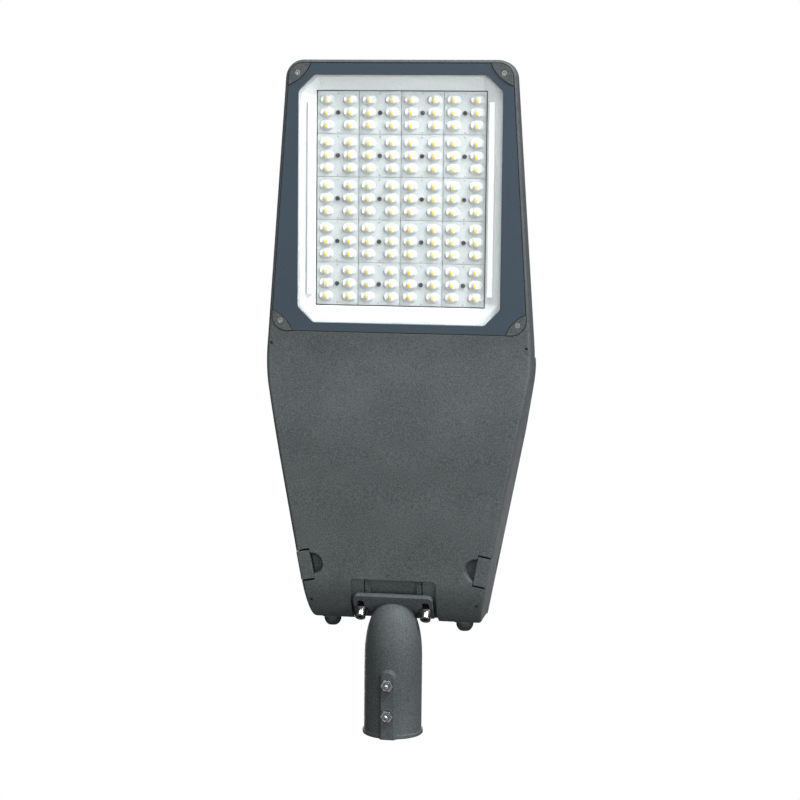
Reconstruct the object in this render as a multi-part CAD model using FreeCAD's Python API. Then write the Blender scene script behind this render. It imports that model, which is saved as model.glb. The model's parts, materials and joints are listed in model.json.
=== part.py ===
import FreeCAD, Part
import math
import os

# LED street-light head with a tilting pole socket, in millimetres.
# Origin: centre of the socket mouth.  +Y runs along the socket to the nose, +Z is up,
# and the light shines down.  Left and right are as seen from the tail, looking to the nose.

V = FreeCAD.Vector
X_AXIS = V(1, 0, 0)
Y_AXIS = V(0, 1, 0)
Z_AXIS = V(0, 0, 1)

# ---- pole socket -------------------------------------------------------------
SOCKET_R = 35.0            # outside radius of the socket tube
BORE_R = 31.0              # socket bore, for a 60 mm pole
BORE_DEPTH = 94.0
TUBE_LENGTH = 92.0         # straight part of the tube
SHOULDER_LENGTH = 70.0     # rounded shoulder beyond it
BEAD_R = 36.8              # rounded bead round the mouth
BEAD_LENGTH = 5.0
RIB_WIDTH = 15.6           # thick rib that the clamp screws go through
RIB_FLANK = 5.0            # run of its sloping sides
RIB_LENGTH = 82.0
RIB_RISE = 4.5
CLAMP_SCREW_Y = (29.7, 67.2)
LEAD_PASSAGE_R = 8.0       # way for the supply cable from the socket to the seat
LEAD_PASSAGE_Z = 8.0

# ---- tilt plate and its seat ---------------------------------------------------
PLATE_Y = 150.2            # where the plate's outer face crosses the tube's axis
PLATE_R = 58.0             # outer radius of the curved plate
PLATE_THICK = 8.0
PLATE_WIDTH = 96.5
PLATE_HALF_ANGLE = 22.0
PLATE_LEAN = 225.0         # direction of the plate's middle, seen along X
SLOT_HALF_ANGLE = 15.5
BOLT_X = 39.8
BOLT_R = 4.0
SLOT_CLEARANCE = 0.5
SEAT_CLEARANCE = 0.4
RECESS_WIDTH = 104.6
RECESS_LENGTH = 55.5       # from the tail wall towards the nose
RECESS_ROOF = 46.0
SEAT_FLOOR_DROP = 3.6      # floor between the toothed strips
STRIP_X = 31.5
STRIP_WIDTH = 6.0
TOOTH_ANGLE = 2.5
TOOTH_DEPTH = 1.2
SEAT_WALL = 8.0
BOSS_R = 9.0
BOSS_DEPTH = 21.0
GROMMET_HOLE_R = 10.0

# ---- housing -------------------------------------------------------------------
BOX_LENGTH = 332.0         # tail wall to the line where the head begins
HEAD_LENGTH = 344.0        # that line to the nose
BULGE_BACK = 22.0          # the widest line lies this far behind it
TAIL_HALF = 103.0
WIDE_HALF = 162.0
NOSE_HALF = 137.0
BELLY_Z = -10.0            # underside of the driver box
RIM_Z = 7.5                # underside of the rim round the glass
PARTING_Z = 84.0           # joint between base and cover
COVER_TOP_Z = 98.0
DECK_Z = 49.0              # top of the bridge between box and head
NOSE_TOP_Z = 29.0
WALL = 4.5
COVER_WALL = 3.5
PARTING_GAP = 0.6
WIDE_CORNER_R = 200.0      # soft bend of the sides at the widest line
BAY_CORNER_R = 60.0        # the same bend inside the driver bay
NOSE_CORNER_R = 22.0
EDGE_R = 4.0               # rounding along the lower edges
TAIL_ROUND_Y = 57.0
TAIL_ROUND_Z = 42.0
RAMP_TOP = 95.0            # widest line back to the top of the ramp
HINGE_BACK = 3.0           # hinge axis behind the widest line
HINGE_Z = 56.0
HINGE_X = 95.0
HINGE_R = 6.0
HINGE_PIN_R = 2.5
HINGE_KNUCKLE = 16.0
HINGE_EAR = 6.0
PIN_CLEARANCE = 0.06
SIDE_CLEARANCE = 0.5
BRIDGE_LENGTH = 18.0       # hollow under the deck
SMALL_HOLE_R = 1.8
SMALL_HOLE_DEPTH = 3.0

# ---- window and light engine ---------------------------------------------------
RIM_WIDTH = 3.3
GLASS_THICK = 4.0
GLASS_PROUD = 0.5          # glass face behind the rim
GLASS_CORNER_R = 17.5
GLASS_START = 21.0         # widest line to the glass's lower edge
GASKET_THICK = 2.0
GASKET_LIP = 0.8
LEDGE = 8.0
MODULE_GAP = 0.6           # between lens plates
MODULE_COLUMNS = 4
MODULE_ROWS = 5
MODULE_PLATE = 1.6
LENS_EDGE = 2.4            # lens plate's edge to the first row of lenses
LENS_APART_X = 10.8        # clear distances between the lenses of a plate
LENS_APART_Y = 1.6
LENS_END = 2.4             # a lens's end to the edge of its plate
LENS_HEIGHT = 5.6
CHIP_X = 3.2
CHIP_Y = 4.6
CHIP_THICK = 0.6
CHIP_POCKET = 1.0
LED_Z = 22.0               # lower face of the chips
BOARD_THICK = 1.6
SINK_THICK = 4.8
ARRAY_TO_NOSE = 36.5       # edge of the light engine to the nose
ARRAY_TO_SIDE = 35.0       # and to the side at the nose
GLASS_TO_ARRAY = 31.5      # the glass's lower edge to the light engine
FIN_THICK = 2.6
FIN_PITCH = 12.5
FIN_RISE = 3.0
BEZEL_SIDE_BAND = 22.6     # widths of the white frame beyond the light engine
BEZEL_NOSE_BAND = 22.0
BEZEL_TAIL_BAND = 21.1
BEZEL_THICK = 1.6
BEZEL_FLANGE = 5.0
BEZEL_CHAMFER = 21.0
BEZEL_RIB_OUT = 4.0        # light engine to the two long raised ribs
BEZEL_RIB_WIDTH = 6.5
BEZEL_RIB_SHORT = 12.5     # each end of a rib short of the light engine's
SCREW_R = 1.5              # small screws
SCREW_CLEARANCE = 0.1
CLAMP_REACH = 31.0
CLAMP_ARC_R = 44.0
CLAMP_SCREW_IN = 12.0
CLAMP_SCREW_R = 2.0
CLAMP_HEAD_R = 3.6
CLAMP_HEAD_HEIGHT = 1.8
POST_R = 5.0               # posts for the clamps and the gear tray
LEAD_HOLE_R = 4.2
LEAD_HOLE_UP = 5.6         # above the window's ledge

# ---- latches -------------------------------------------------------------------
LATCH_Y = 68.5             # tail wall to the latch's middle
LATCH_WIDTH = 34.5
LATCH_THICK = 6.0
LATCH_FOOT = 16.0
LATCH_FOOT_THICK = 8.0
LATCH_PIN_Z = 75.0
LATCH_PIN_R = 2.0
LATCH_GAP = 0.8
LATCH_END_GAP = 2.4
LATCH_LUG = 12.0
LATCH_LUG_R = 5.5
NOTCH_DEPTH = 16.8
NOTCH_WALL = 3.6
FINGER_R = 13.0
FINGER_DEPTH = 9.0

# ---- electrical parts ----------------------------------------------------------
TRAY_THICK = 2.0
TRAY_Z = 14.0
TRAY_HALF = 82.0
TRAY_START = 97.0          # tail wall to the tray
TRAY_LENGTH = 212.0
DRIVER_X = -25.0
DRIVER_LENGTH = 200.0
DRIVER_WIDTH = 70.0
DRIVER_HEIGHT = 38.0
DRIVER_FLANGE = 2.5
DRIVER_SCREW_X = 20.0
DRIVER_FOOT = 12.0         # flange beyond the case at each end
LEAD_R = 2.4
GLAND_INSET = 21.0         # side wall at the tail to a gland's axis
GLAND_Z = 34.0
GLAND_DOME_R = 10.8
GLAND_SKIRT = 1.5
GLAND_THREAD_R = 8.0
GLAND_BORE_R = 3.5
GLAND_SEAL = 2.0           # wall of the rubber seal in a gland
GLAND_FIT = 0.05           # clearance round the seal and in the lock nut
GLAND_ENGAGE = 9.0         # gland body beyond the tail wall
GLAND_NUT_ACROSS = 21.0
GLAND_NUT_HEIGHT = 4.0
GLAND_PAD = 7.0            # thickness of the flat pad that each gland is clamped to
GLAND_PAD_R = 13.0

# ---- places that follow from the sizes above --------------------------------------
ARRAY_HALF = min(NOSE_HALF, WIDE_HALF) - ARRAY_TO_SIDE
ARRAY_REACH = (HEAD_LENGTH - GLASS_START - GLASS_TO_ARRAY - ARRAY_TO_NOSE) / 2
PITCH_X = 2 * ARRAY_HALF / MODULE_COLUMNS
PITCH_Y = 2 * ARRAY_REACH / MODULE_ROWS
LENS_LENGTH = (PITCH_X - MODULE_GAP - LENS_APART_X - 2 * LENS_END) / 2
LENS_PITCH_X = LENS_LENGTH + LENS_APART_X
LENS_PITCH_Y = (PITCH_Y - MODULE_GAP - 2 * LENS_EDGE) / 3
LENS_WIDTH = LENS_PITCH_Y - LENS_APART_Y
BEZEL_HALF = ARRAY_HALF + BEZEL_SIDE_BAND
BEZEL_NOSE = ARRAY_REACH + BEZEL_NOSE_BAND
BEZEL_TAIL = ARRAY_REACH + BEZEL_TAIL_BAND
BEZEL_RIB_X = ARRAY_HALF + BEZEL_RIB_OUT
BEZEL_RIB_HALF = ARRAY_REACH - BEZEL_RIB_SHORT
GLAND_X = TAIL_HALF - GLAND_INSET
TILT_Y = PLATE_Y + PLATE_R * math.sqrt(0.5)
TILT_Z = PLATE_R * math.sqrt(0.5)
PLATE_IN_R = PLATE_R - PLATE_THICK
SEAT_R = PLATE_IN_R - SEAT_CLEARANCE
TAIL_Y = TILT_Y - PLATE_R
WIDE_Y = TAIL_Y + BOX_LENGTH
NOSE_Y = WIDE_Y + HEAD_LENGTH
BULGE_Y = WIDE_Y - BULGE_BACK
ARRAY_Y = NOSE_Y - ARRAY_TO_NOSE - ARRAY_REACH
HINGE_Y = WIDE_Y - HINGE_BACK
RAMP_Y = WIDE_Y - RAMP_TOP
RAMP_END_Y = HINGE_Y - HINGE_R
GLASS_Z = RIM_Z + GLASS_PROUD
GLASS_TOP = GLASS_Z + GLASS_THICK
LEDGE_Z = GLASS_TOP + GASKET_THICK
GLASS_Y0 = WIDE_Y + GLASS_START
LEAD_HOLE_Z = LEDGE_Z + LEAD_HOLE_UP
CLAMP_SEAT_Z = RIM_Z + 2.2   # where a clamp screw's head bears
BOARD_Z = LED_Z + CHIP_THICK
SINK_Z = BOARD_Z + BOARD_THICK
SPAN = 2 * WIDE_HALF
HOLD_BACK = 0.3            # small clearance between separate pieces


def side_half(y):
    """Half width of the housing at y."""
    if y < BULGE_Y:
        return TAIL_HALF + (WIDE_HALF - TAIL_HALF) * (y - TAIL_Y) / (BULGE_Y - TAIL_Y)
    return WIDE_HALF + (NOSE_HALF - WIDE_HALF) * (y - BULGE_Y) / (NOSE_Y - BULGE_Y)


def box(x0, x1, y0, y1, z0, z1):
    return Part.makeBox(x1 - x0, y1 - y0, z1 - z0, V(x0, y0, z0))


def rod(radius, start, end):
    run = end.sub(start)
    return Part.makeCylinder(radius, run.Length, start, run)


def plan_prism(points, z0, z1):
    """Straight-sided block on a closed outline in plan."""
    corners = [V(x, y, z0) for x, y in points]
    face = Part.Face(Part.makePolygon(corners + corners[:1]))
    return face.extrude(V(0, 0, z1 - z0))


def side_block(points, half=None, x0=None, x1=None):
    """Block on a closed outline in the YZ plane, from x0 to x1."""
    if half is not None:
        x0, x1 = -half, half
    corners = [V(x0, y, z) for y, z in points]
    face = Part.Face(Part.makePolygon(corners + corners[:1]))
    return face.extrude(V(x1 - x0, 0, 0))


def mirror_x(shape):
    return shape.mirror(V(0, 0, 0), X_AXIS)


def both_sides(shape):
    return [shape, mirror_x(shape)]


def fuse(shapes):
    return shapes[0].multiFuse(shapes[1:]).removeSplitter()


def round_edges(shape, radius, wanted):
    edges = [e for e in shape.Edges if wanted(e)]
    return shape.makeFillet(radius, edges)


def upright(edge):
    ends = [v.Point for v in edge.Vertexes]
    if len(ends) != 2:
        return False
    return math.hypot(ends[0].x - ends[1].x, ends[0].y - ends[1].y) < 0.01


def write(name, shapes):
    if not isinstance(shapes, list):
        shapes = [shapes]
    solids = [s for shape in shapes for s in shape.Solids]
    assert solids and all(s.isValid() for s in solids), name
    result = solids[0] if len(solids) == 1 else Part.makeCompound(solids)
    result.exportStep("parts/" + name + ".step")
    print(name, len(solids), round(sum(s.Volume for s in solids)))


# ---- shapes shared by the housing, the cover and what seals them ---------------------

def rounded_plan(inset, z0, z1, y0=None, y1=None):
    """The whole plan outline, moved in by inset, with its corners rounded."""
    y0 = TAIL_Y if y0 is None else y0
    y1 = NOSE_Y if y1 is None else y1
    outline = [(side_half(y0), y0)]
    if y0 < BULGE_Y < y1:
        outline.append((WIDE_HALF, BULGE_Y))
    outline.append((side_half(y1), y1))
    tail, nose = y0 + inset, y1 - inset
    right = []
    for x, y in outline:
        y = min(max(y, tail), nose)
        right.append((side_half(y) - inset, y))
    block = plan_prism(right + [(-x, y) for x, y in reversed(right)], z0, z1)
    bend = WIDE_CORNER_R if y1 > WIDE_Y else BAY_CORNER_R
    corners = ((BULGE_Y, bend), (nose, NOSE_CORNER_R))
    for y, radius in corners:
        def at_corner(edge, y=y):
            return upright(edge) and abs(edge.Vertexes[0].Y - y) < 0.01
        if any(at_corner(edge) for edge in block.Edges):
            block = round_edges(block, max(radius - inset, 2.0), at_corner)
    return block


def quarter_tail(lift):
    """Rounded lower corner of the tail in side view: a quarter ellipse as a curve of the YZ plane."""
    centre = V(0, TAIL_Y + TAIL_ROUND_Y, BELLY_Z + TAIL_ROUND_Z)
    long_half, short_half = TAIL_ROUND_Y - lift, TAIL_ROUND_Z - lift
    root_half = math.sqrt(0.5)
    curve = Part.BSplineCurve()
    poles = [V(0, centre.y, centre.z - short_half), V(0, centre.y - long_half, centre.z - short_half),
             V(0, centre.y - long_half, centre.z)]
    curve.buildFromPolesMultsKnots(poles, [3, 3], [0, 1], False, 2, [1, root_half, 1])
    return curve.toShape(), poles[0], poles[2]


def lower_block(lift, top_points):
    """Block between the housing's lower line, moved up by lift, and the line through top_points."""
    swoop = Part.BSplineCurve()
    start = V(0, GLASS_Y0 - 10, RIM_Z + lift)
    tail_curve, tail_low, tail_high = quarter_tail(lift)
    middle = [V(0, WIDE_Y - 34, RIM_Z - 4.4 + lift), V(0, WIDE_Y - 78, BELLY_Z + 6.6 + lift),
              V(0, WIDE_Y - 170, BELLY_Z + 1.6 + lift)]
    swoop.interpolate([start] + middle + [tail_low], InitialTangent=V(0, -1, 0), FinalTangent=V(0, -1, 0))
    path = [tail_high] + [V(0, y, z) for y, z in top_points] + [start]
    lines = [Part.makeLine(a, b) for a, b in zip(path, path[1:])]
    wire = Part.Wire([swoop.toShape(), tail_curve] + lines)
    block = Part.Face(wire).extrude(V(2 * SPAN, 0, 0))
    block.translate(V(-SPAN, 0, 0))
    return block


def parting_points(rise):
    """The parting line between base and cover in side view, moved up by rise."""
    slope = math.atan2(PARTING_Z - DECK_Z, RAMP_END_Y - RAMP_Y)
    lift = rise / math.cos(slope)
    return [(TAIL_Y - 20, PARTING_Z + rise), (RAMP_Y - rise * math.tan(slope / 2), PARTING_Z + rise),
            (RAMP_END_Y, DECK_Z + lift), (RAMP_END_Y + 30, DECK_Z + lift - 30 * math.tan(slope))]


def wall_frame(shape):
    """Moves a piece from the latch's own frame to the right side wall.

    There, X is outwards from the wall's face, Y runs along the wall and Z is up.
    """
    y = TAIL_Y + LATCH_Y
    turn = math.degrees(math.atan2(WIDE_HALF - TAIL_HALF, BULGE_Y - TAIL_Y))
    moved = shape.copy()
    moved.rotate(V(0, 0, 0), Z_AXIS, -turn)
    moved.translate(V(side_half(y), y, 0))
    return moved


def bay_plan(grow, z0, z1):
    """Plan of the driver bay, grown by grow, pinched in at the latches."""
    block = rounded_plan(WALL - grow, z0, z1, TAIL_Y, RAMP_END_Y + 2)
    half = LATCH_WIDTH / 2 + LATCH_END_GAP + NOTCH_WALL - grow
    pinch = wall_frame(box(-NOTCH_DEPTH - NOTCH_WALL + grow, 30, -half, half, z0 - 1, z1 + 1))
    for side in both_sides(pinch):
        block = block.cut(side)
    return block


# ---- pole socket and tilt plate --------------------------------------------------------

def radial(angle, radius, x=0.0):
    """A point at an angle and radius about the tilt axis."""
    a = math.radians(angle)
    return V(x, TILT_Y + radius * math.cos(a), TILT_Z + radius * math.sin(a))


def arc_band(inner, outer, a0, a1, x0, x1):
    """A curved strip about the tilt axis."""
    corner = [radial(a0, inner), radial(a0, outer), radial(a1, outer), radial(a1, inner)]
    mid = (a0 + a1) / 2
    wire = Part.Wire([Part.makeLine(corner[0], corner[1]),
                      Part.Arc(corner[1], radial(mid, outer), corner[2]).toShape(),
                      Part.makeLine(corner[2], corner[3]),
                      Part.Arc(corner[3], radial(mid, inner), corner[0]).toShape()])
    block = Part.Face(wire).extrude(V(x1 - x0, 0, 0))
    block.translate(V(x0, 0, 0))
    return block


def tooth_strip(valley, crest, a0, a1, x0, x1):
    """A strip of V-shaped teeth about the tilt axis, on a root at the valley radius."""
    count = int((a1 - a0) / TOOTH_ANGLE)
    base = valley - 1.5 if crest > valley else valley + 1.5
    points = [radial(a0, base)]
    for i in range(count):
        points.append(radial(a0 + i * TOOTH_ANGLE, valley))
        points.append(radial(a0 + (i + 0.5) * TOOTH_ANGLE, crest))
    points.append(radial(a0 + count * TOOTH_ANGLE, valley))
    points.append(radial(a0 + count * TOOTH_ANGLE, base))
    backs = [radial(a0 + count * TOOTH_ANGLE * k / 8, base) for k in range(7, 0, -1)]
    points += backs
    face = Part.Face(Part.makePolygon(points + points[:1]))
    block = face.extrude(V(x1 - x0, 0, 0))
    block.translate(V(x0, 0, 0))
    return block


def spigot_adaptor():
    tube = Part.makeCylinder(SOCKET_R, TUBE_LENGTH, V(0, 0, 0), Y_AXIS)
    bead = Part.makeCylinder(BEAD_R, BEAD_LENGTH, V(0, 0, 0), Y_AXIS)
    bead = bead.makeFillet(1.2, [e for e in bead.Edges if len(e.Vertexes) == 1])
    curve = Part.BezierCurve()
    far = TUBE_LENGTH + SHOULDER_LENGTH
    poles = [V(SOCKET_R, TUBE_LENGTH, 0), V(SOCKET_R, far, 0), V(0, far, 0)]
    curve.setPoles(poles)
    wire = Part.Wire([curve.toShape(), Part.makeLine(poles[2], V(0, TUBE_LENGTH, 0)),
                      Part.makeLine(V(0, TUBE_LENGTH, 0), poles[0])])
    shoulder = Part.Face(wire).revolve(V(0, 0, 0), Y_AXIS, 360)
    low = -SOCKET_R - RIB_RISE
    half = RIB_WIDTH / 2
    foot = half + RIB_FLANK
    corners = [V(-half, 0, low), V(half, 0, low), V(foot, 0, -BORE_R), V(-foot, 0, -BORE_R)]
    rib = Part.Face(Part.makePolygon(corners + corners[:1])).extrude(V(0, RIB_LENGTH - half, 0))
    rib_end = Part.makeCone(half, foot, -BORE_R - low, V(0, RIB_LENGTH - half, low), Z_AXIS)
    a0, a1 = PLATE_LEAN - PLATE_HALF_ANGLE, PLATE_LEAN + PLATE_HALF_ANGLE
    plate = arc_band(PLATE_IN_R, PLATE_R, a0, a1, -PLATE_WIDTH / 2, PLATE_WIDTH / 2)
    def plate_corner(edge):
        ends = [v.Point for v in edge.Vertexes]
        flat = abs(ends[0].x - ends[1].x) < 0.01 if len(ends) == 2 else False
        return flat and abs(edge.Length - PLATE_THICK) < 0.2
    plate = round_edges(plate, 6.0, plate_corner)
    behind = rod(PLATE_IN_R + PLATE_THICK / 2, radial(0, 0, -PLATE_WIDTH), radial(0, 0, PLATE_WIDTH))
    shoulder = shoulder.cut(behind)
    inside = rod(PLATE_IN_R, radial(0, 0, -PLATE_WIDTH), radial(0, 0, PLATE_WIDTH))
    body = fuse([tube, bead, shoulder, rib, rib_end, plate]).cut(inside)
    body = body.cut(Part.makeCylinder(BORE_R, BORE_DEPTH, V(0, 0, 0), Y_AXIS))
    body = body.cut(Part.makeCylinder(LEAD_PASSAGE_R, TILT_Y, V(0, BORE_DEPTH - 1, LEAD_PASSAGE_Z), Y_AXIS))
    for y in CLAMP_SCREW_Y:
        body = body.cut(rod(BOLT_R + PIN_CLEARANCE, V(0, y, low - 1), V(0, y, 0)))
    slot_half = BOLT_R + SLOT_CLEARANCE
    end_angle = SLOT_HALF_ANGLE - math.degrees(slot_half / PLATE_R)
    slot = arc_band(PLATE_IN_R - 4, PLATE_R + 4, PLATE_LEAN - end_angle, PLATE_LEAN + end_angle,
                    BOLT_X - slot_half, BOLT_X + slot_half)
    ends = [rod(slot_half, radial(PLATE_LEAN + s * end_angle, PLATE_IN_R - 4, BOLT_X),
                radial(PLATE_LEAN + s * end_angle, PLATE_R + 4, BOLT_X)) for s in (-1, 1)]
    for cutter in both_sides(fuse([slot] + ends)):
        body = body.cut(cutter)
    grooves = tooth_strip(PLATE_IN_R - 1.0, PLATE_IN_R + TOOTH_DEPTH, a0 - 2, a1 + 2,
                          STRIP_X - STRIP_WIDTH / 2, STRIP_X + STRIP_WIDTH / 2)
    for cutter in both_sides(grooves):
        body = body.cut(cutter)
    return body


def hexagon(across, height, centre, axis=Z_AXIS):
    """A hexagonal prism from centre along axis."""
    r = across / math.sqrt(3)
    angles = [math.radians(60 * k) for k in range(6)]
    points = [V(r * math.cos(a), r * math.sin(a), 0) for a in angles]
    prism = Part.Face(Part.makePolygon(points + points[:1])).extrude(V(0, 0, height))
    prism.Placement = FreeCAD.Placement(centre, FreeCAD.Rotation(Z_AXIS, axis))
    return prism


NUT_ACROSS = 13.0
NUT_HEIGHT = 5.5
CLAMP_SCREW_LENGTH = 24.0
SCREW_BACK = 0.5           # screw tips sit this far back from the bore


def clamp_screw(y):
    """Set screw with a rounded tip and a hexagon socket in its outer end."""
    top = -BORE_R - SCREW_BACK
    body = rod(BOLT_R, V(0, y, top - CLAMP_SCREW_LENGTH), V(0, y, top))
    body = body.makeChamfer(0.8, [e for e in body.Edges if len(e.Vertexes) == 1])
    return body.cut(hexagon(4.0, 5.0, V(0, y, top - CLAMP_SCREW_LENGTH - 0.1)))


def lock_nut(y):
    low = -SOCKET_R - RIB_RISE - NUT_HEIGHT
    nut = hexagon(NUT_ACROSS, NUT_HEIGHT, V(0, y, low))
    return nut.cut(rod(BOLT_R + PIN_CLEARANCE, V(0, y, low - 1), V(0, y, 0)))


# ---- tilt bolts and washers ---------------------------------------------------------------

WASHER_R = 8.0
WASHER_THICK = 1.6
SPRING_R = 6.6
SPRING_THICK = 2.0
HEAD_R = 6.5
HEAD_HEIGHT = 8.0
BOLT_REACH = 18.0          # length of bolt inside the seat


def tilt_bolt(x):
    seat = PLATE_R + HOLD_BACK + WASHER_THICK + SPRING_THICK
    outer = radial(PLATE_LEAN, seat + HEAD_HEIGHT, x)
    inner = radial(PLATE_LEAN, seat, x)
    head = rod(HEAD_R, inner, outer)
    head = head.makeFillet(0.8, [e for e in head.Edges if len(e.Vertexes) == 1][:1])
    shank = rod(BOLT_R, radial(PLATE_LEAN, SEAT_R - BOLT_REACH, x), inner)
    axis = inner.sub(outer)
    return fuse([head, shank]).cut(hexagon(6.0, 5.0, outer.add(axis.multiply(-0.01)), axis.multiply(-1)))


def washer(x, radius, from_plate, thick):
    inner = radial(PLATE_LEAN, PLATE_R + from_plate, x)
    outer = radial(PLATE_LEAN, PLATE_R + from_plate + thick, x)
    return rod(radius, inner, outer).cut(rod(BOLT_R + PIN_CLEARANCE, radial(PLATE_LEAN, PLATE_R - 5, x),
                                             radial(PLATE_LEAN, PLATE_R + 20, x)))


def spring_washer(x):
    """Split ring washer."""
    ring = washer(x, SPRING_R, HOLD_BACK + WASHER_THICK, SPRING_THICK)
    middle = radial(PLATE_LEAN, PLATE_R + HOLD_BACK + WASHER_THICK + SPRING_THICK / 2, x)
    split = box(0, SPRING_R + 2, -0.6, 0.6, -SPRING_THICK, SPRING_THICK)
    outward = radial(PLATE_LEAN, 1).sub(radial(PLATE_LEAN, 0))
    split.Placement = FreeCAD.Placement(middle, FreeCAD.Rotation(Z_AXIS, outward))
    return ring.cut(split)


# ---- housing --------------------------------------------------------------------------------

def top_line(extra=0.0):
    """The head's top edge in side view, from the deck to the nose."""
    return [(RAMP_END_Y, DECK_Z + extra), (WIDE_Y + 15, DECK_Z + extra), (NOSE_Y + 20, NOSE_TOP_Z + extra)]


def bay_hollow():
    """Room for the driver, over a floor that follows the underside."""
    floor = [(TAIL_Y + WALL, 200), (RAMP_END_Y + 2, 200), (RAMP_END_Y + 2, RIM_Z + WALL)]
    hollow = bay_plan(0, BELLY_Z - 5, 200).common(lower_block(WALL, floor))
    half = RECESS_WIDTH / 2 + WALL
    keep = box(-half, half, TAIL_Y - 1, TAIL_Y + RECESS_LENGTH + 6, BELLY_Z - 6, RECESS_ROOF + WALL)
    reach = NOTCH_DEPTH + FINGER_R + 3
    pad = wall_frame(box(-reach, 10, -FINGER_R - 4, FINGER_R + 4, BELLY_Z - 6, BELLY_Z + FINGER_DEPTH + 3))
    for cutter in [keep] + both_sides(pad):
        hollow = hollow.cut(cutter)
    half = side_half(RAMP_END_Y) - WALL - 12
    bridge = box(-half, half, RAMP_END_Y - 6, RAMP_END_Y + BRIDGE_LENGTH, RIM_Z + WALL, DECK_Z - 4)
    return fuse([hollow, bridge])


def seat_features():
    """Lands, toothed strips and bolt bosses of the curved seat."""
    a0, a1 = 181.0, 272.0
    inner = SEAT_R - SEAT_FLOOR_DROP - 1
    edge = STRIP_X + STRIP_WIDTH / 2
    land = arc_band(inner, SEAT_R, a0, a1, edge + 1.5, RECESS_WIDTH / 2)
    strip = tooth_strip(SEAT_R - TOOTH_DEPTH, SEAT_R, a0 + 0.5, a1, STRIP_X - STRIP_WIDTH / 2, edge)
    under = arc_band(inner, SEAT_R - TOOTH_DEPTH - 0.4, a0, a1, STRIP_X - STRIP_WIDTH / 2, edge)
    boss = rod(BOSS_R, radial(PLATE_LEAN, SEAT_R - BOSS_DEPTH, BOLT_X),
               radial(PLATE_LEAN, inner, BOLT_X))
    return [s for piece in (land, strip, under, boss) for s in both_sides(piece)]


def recess_cut():
    """The pocket in the tail that the tilt plate moves in."""
    half = RECESS_WIDTH / 2
    pocket = box(-half, half, TAIL_Y - 60, TAIL_Y + RECESS_LENGTH, BELLY_Z - 60, RECESS_ROOF)
    def long_edge(edge):
        return upright(edge) and edge.Vertexes[0].Y > TAIL_Y
    pocket = round_edges(pocket, 5.0, long_edge)
    drum = rod(SEAT_R - SEAT_FLOOR_DROP, radial(0, 0, -RECESS_WIDTH), radial(0, 0, RECESS_WIDTH))
    return pocket.cut(drum)


def seat_carve():
    """Hollow behind the curved seat, open to the driver bay."""
    half = RECESS_WIDTH / 2 - 2
    return rod(SEAT_R - SEAT_FLOOR_DROP - SEAT_WALL, radial(0, 0, -half), radial(0, 0, half))


def notch_cut():
    """Slot in the side wall that a latch lies in."""
    half = LATCH_WIDTH / 2 + LATCH_GAP
    low_half = LATCH_WIDTH / 2 + LATCH_END_GAP
    tall = box(-NOTCH_DEPTH, 20, -half, half, BELLY_Z - 30, PARTING_Z + 30)
    low = box(-NOTCH_DEPTH, -1.5, -low_half, low_half, BELLY_Z - 30, BELLY_Z + LATCH_FOOT_THICK + 2)
    finger = Part.makeCone(FINGER_R + 1.5, FINGER_R - 2.5, FINGER_DEPTH, V(-LATCH_FOOT, 0, BELLY_Z), Z_AXIS)
    return wall_frame(fuse([tall, low, finger]))


def head_hollows():
    """Window opening below the heat sink, and the open trough for the fins above it."""
    window = glass_outline(GASKET_LIP, RIM_Z - 5, LEDGE_Z)
    inner = glass_outline(-LEDGE, LEDGE_Z - 1, SINK_Z)
    trough = rounded_plan(WALL, SINK_Z + SINK_THICK, 100, WIDE_Y + 15, NOSE_Y)
    return [window, inner, trough]


def glass_outline(grow, z0, z1):
    """Plan of the window glass, grown all round."""
    inset = RIM_WIDTH + GASKET_LIP - grow
    y0, y1 = GLASS_Y0 - grow, NOSE_Y - inset
    points = [(side_half(y0) - inset, y0), (side_half(y1) - inset, y1)]
    block = plan_prism(points + [(-x, y) for x, y in reversed(points)], z0, z1)
    return round_edges(block, max(GLASS_CORNER_R + grow, 4.0), upright)


def fins():
    """Cooling fins along the head, each as high as the rim plus a small rise."""
    y0, y1 = WIDE_Y + 20, NOSE_Y - WALL - 8
    slope = (NOSE_TOP_Z - DECK_Z) / (NOSE_Y + 20 - WIDE_Y - 15)
    z0 = SINK_Z + SINK_THICK - 1
    count = int((side_half(y1) - WALL - 8) / FIN_PITCH)
    blades = []
    for k in range(-count, count + 1):
        x = k * FIN_PITCH
        high = [(y, DECK_Z + slope * (y - WIDE_Y - 15) + FIN_RISE) for y in (y0 + 8, y1 - 12)]
        outline = [(y0, z0)] + [(y1, z0), (y1, z0 + 3), (high[1][0], high[1][1]), high[0], (y0, z0 + 12)]
        blades.append(side_block(outline, x0=x - FIN_THICK / 2, x1=x + FIN_THICK / 2))
    return blades


def hinge_ear(x0, x1):
    """Base ear that carries the cover's hinge pin."""
    barrel = Part.makeCylinder(HINGE_R, x1 - x0, V(x0, HINGE_Y, HINGE_Z), X_AXIS)
    foot = side_block([(HINGE_Y - HINGE_R, DECK_Z - 2), (HINGE_Y + HINGE_R + 5, DECK_Z - 2),
                       (HINGE_Y + HINGE_R * 0.8, HINGE_Z + HINGE_R * 0.6), (HINGE_Y - HINGE_R, HINGE_Z)],
                      x0=x0, x1=x1)
    return fuse([barrel, foot])


def hinge_spans():
    """X ranges of the two base ears beside the right-hand knuckle."""
    inner = HINGE_X - HINGE_KNUCKLE / 2 - SIDE_CLEARANCE
    outer = HINGE_X + HINGE_KNUCKLE / 2 + SIDE_CLEARANCE
    return [(inner - HINGE_EAR, inner), (outer, outer + HINGE_EAR)]


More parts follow.
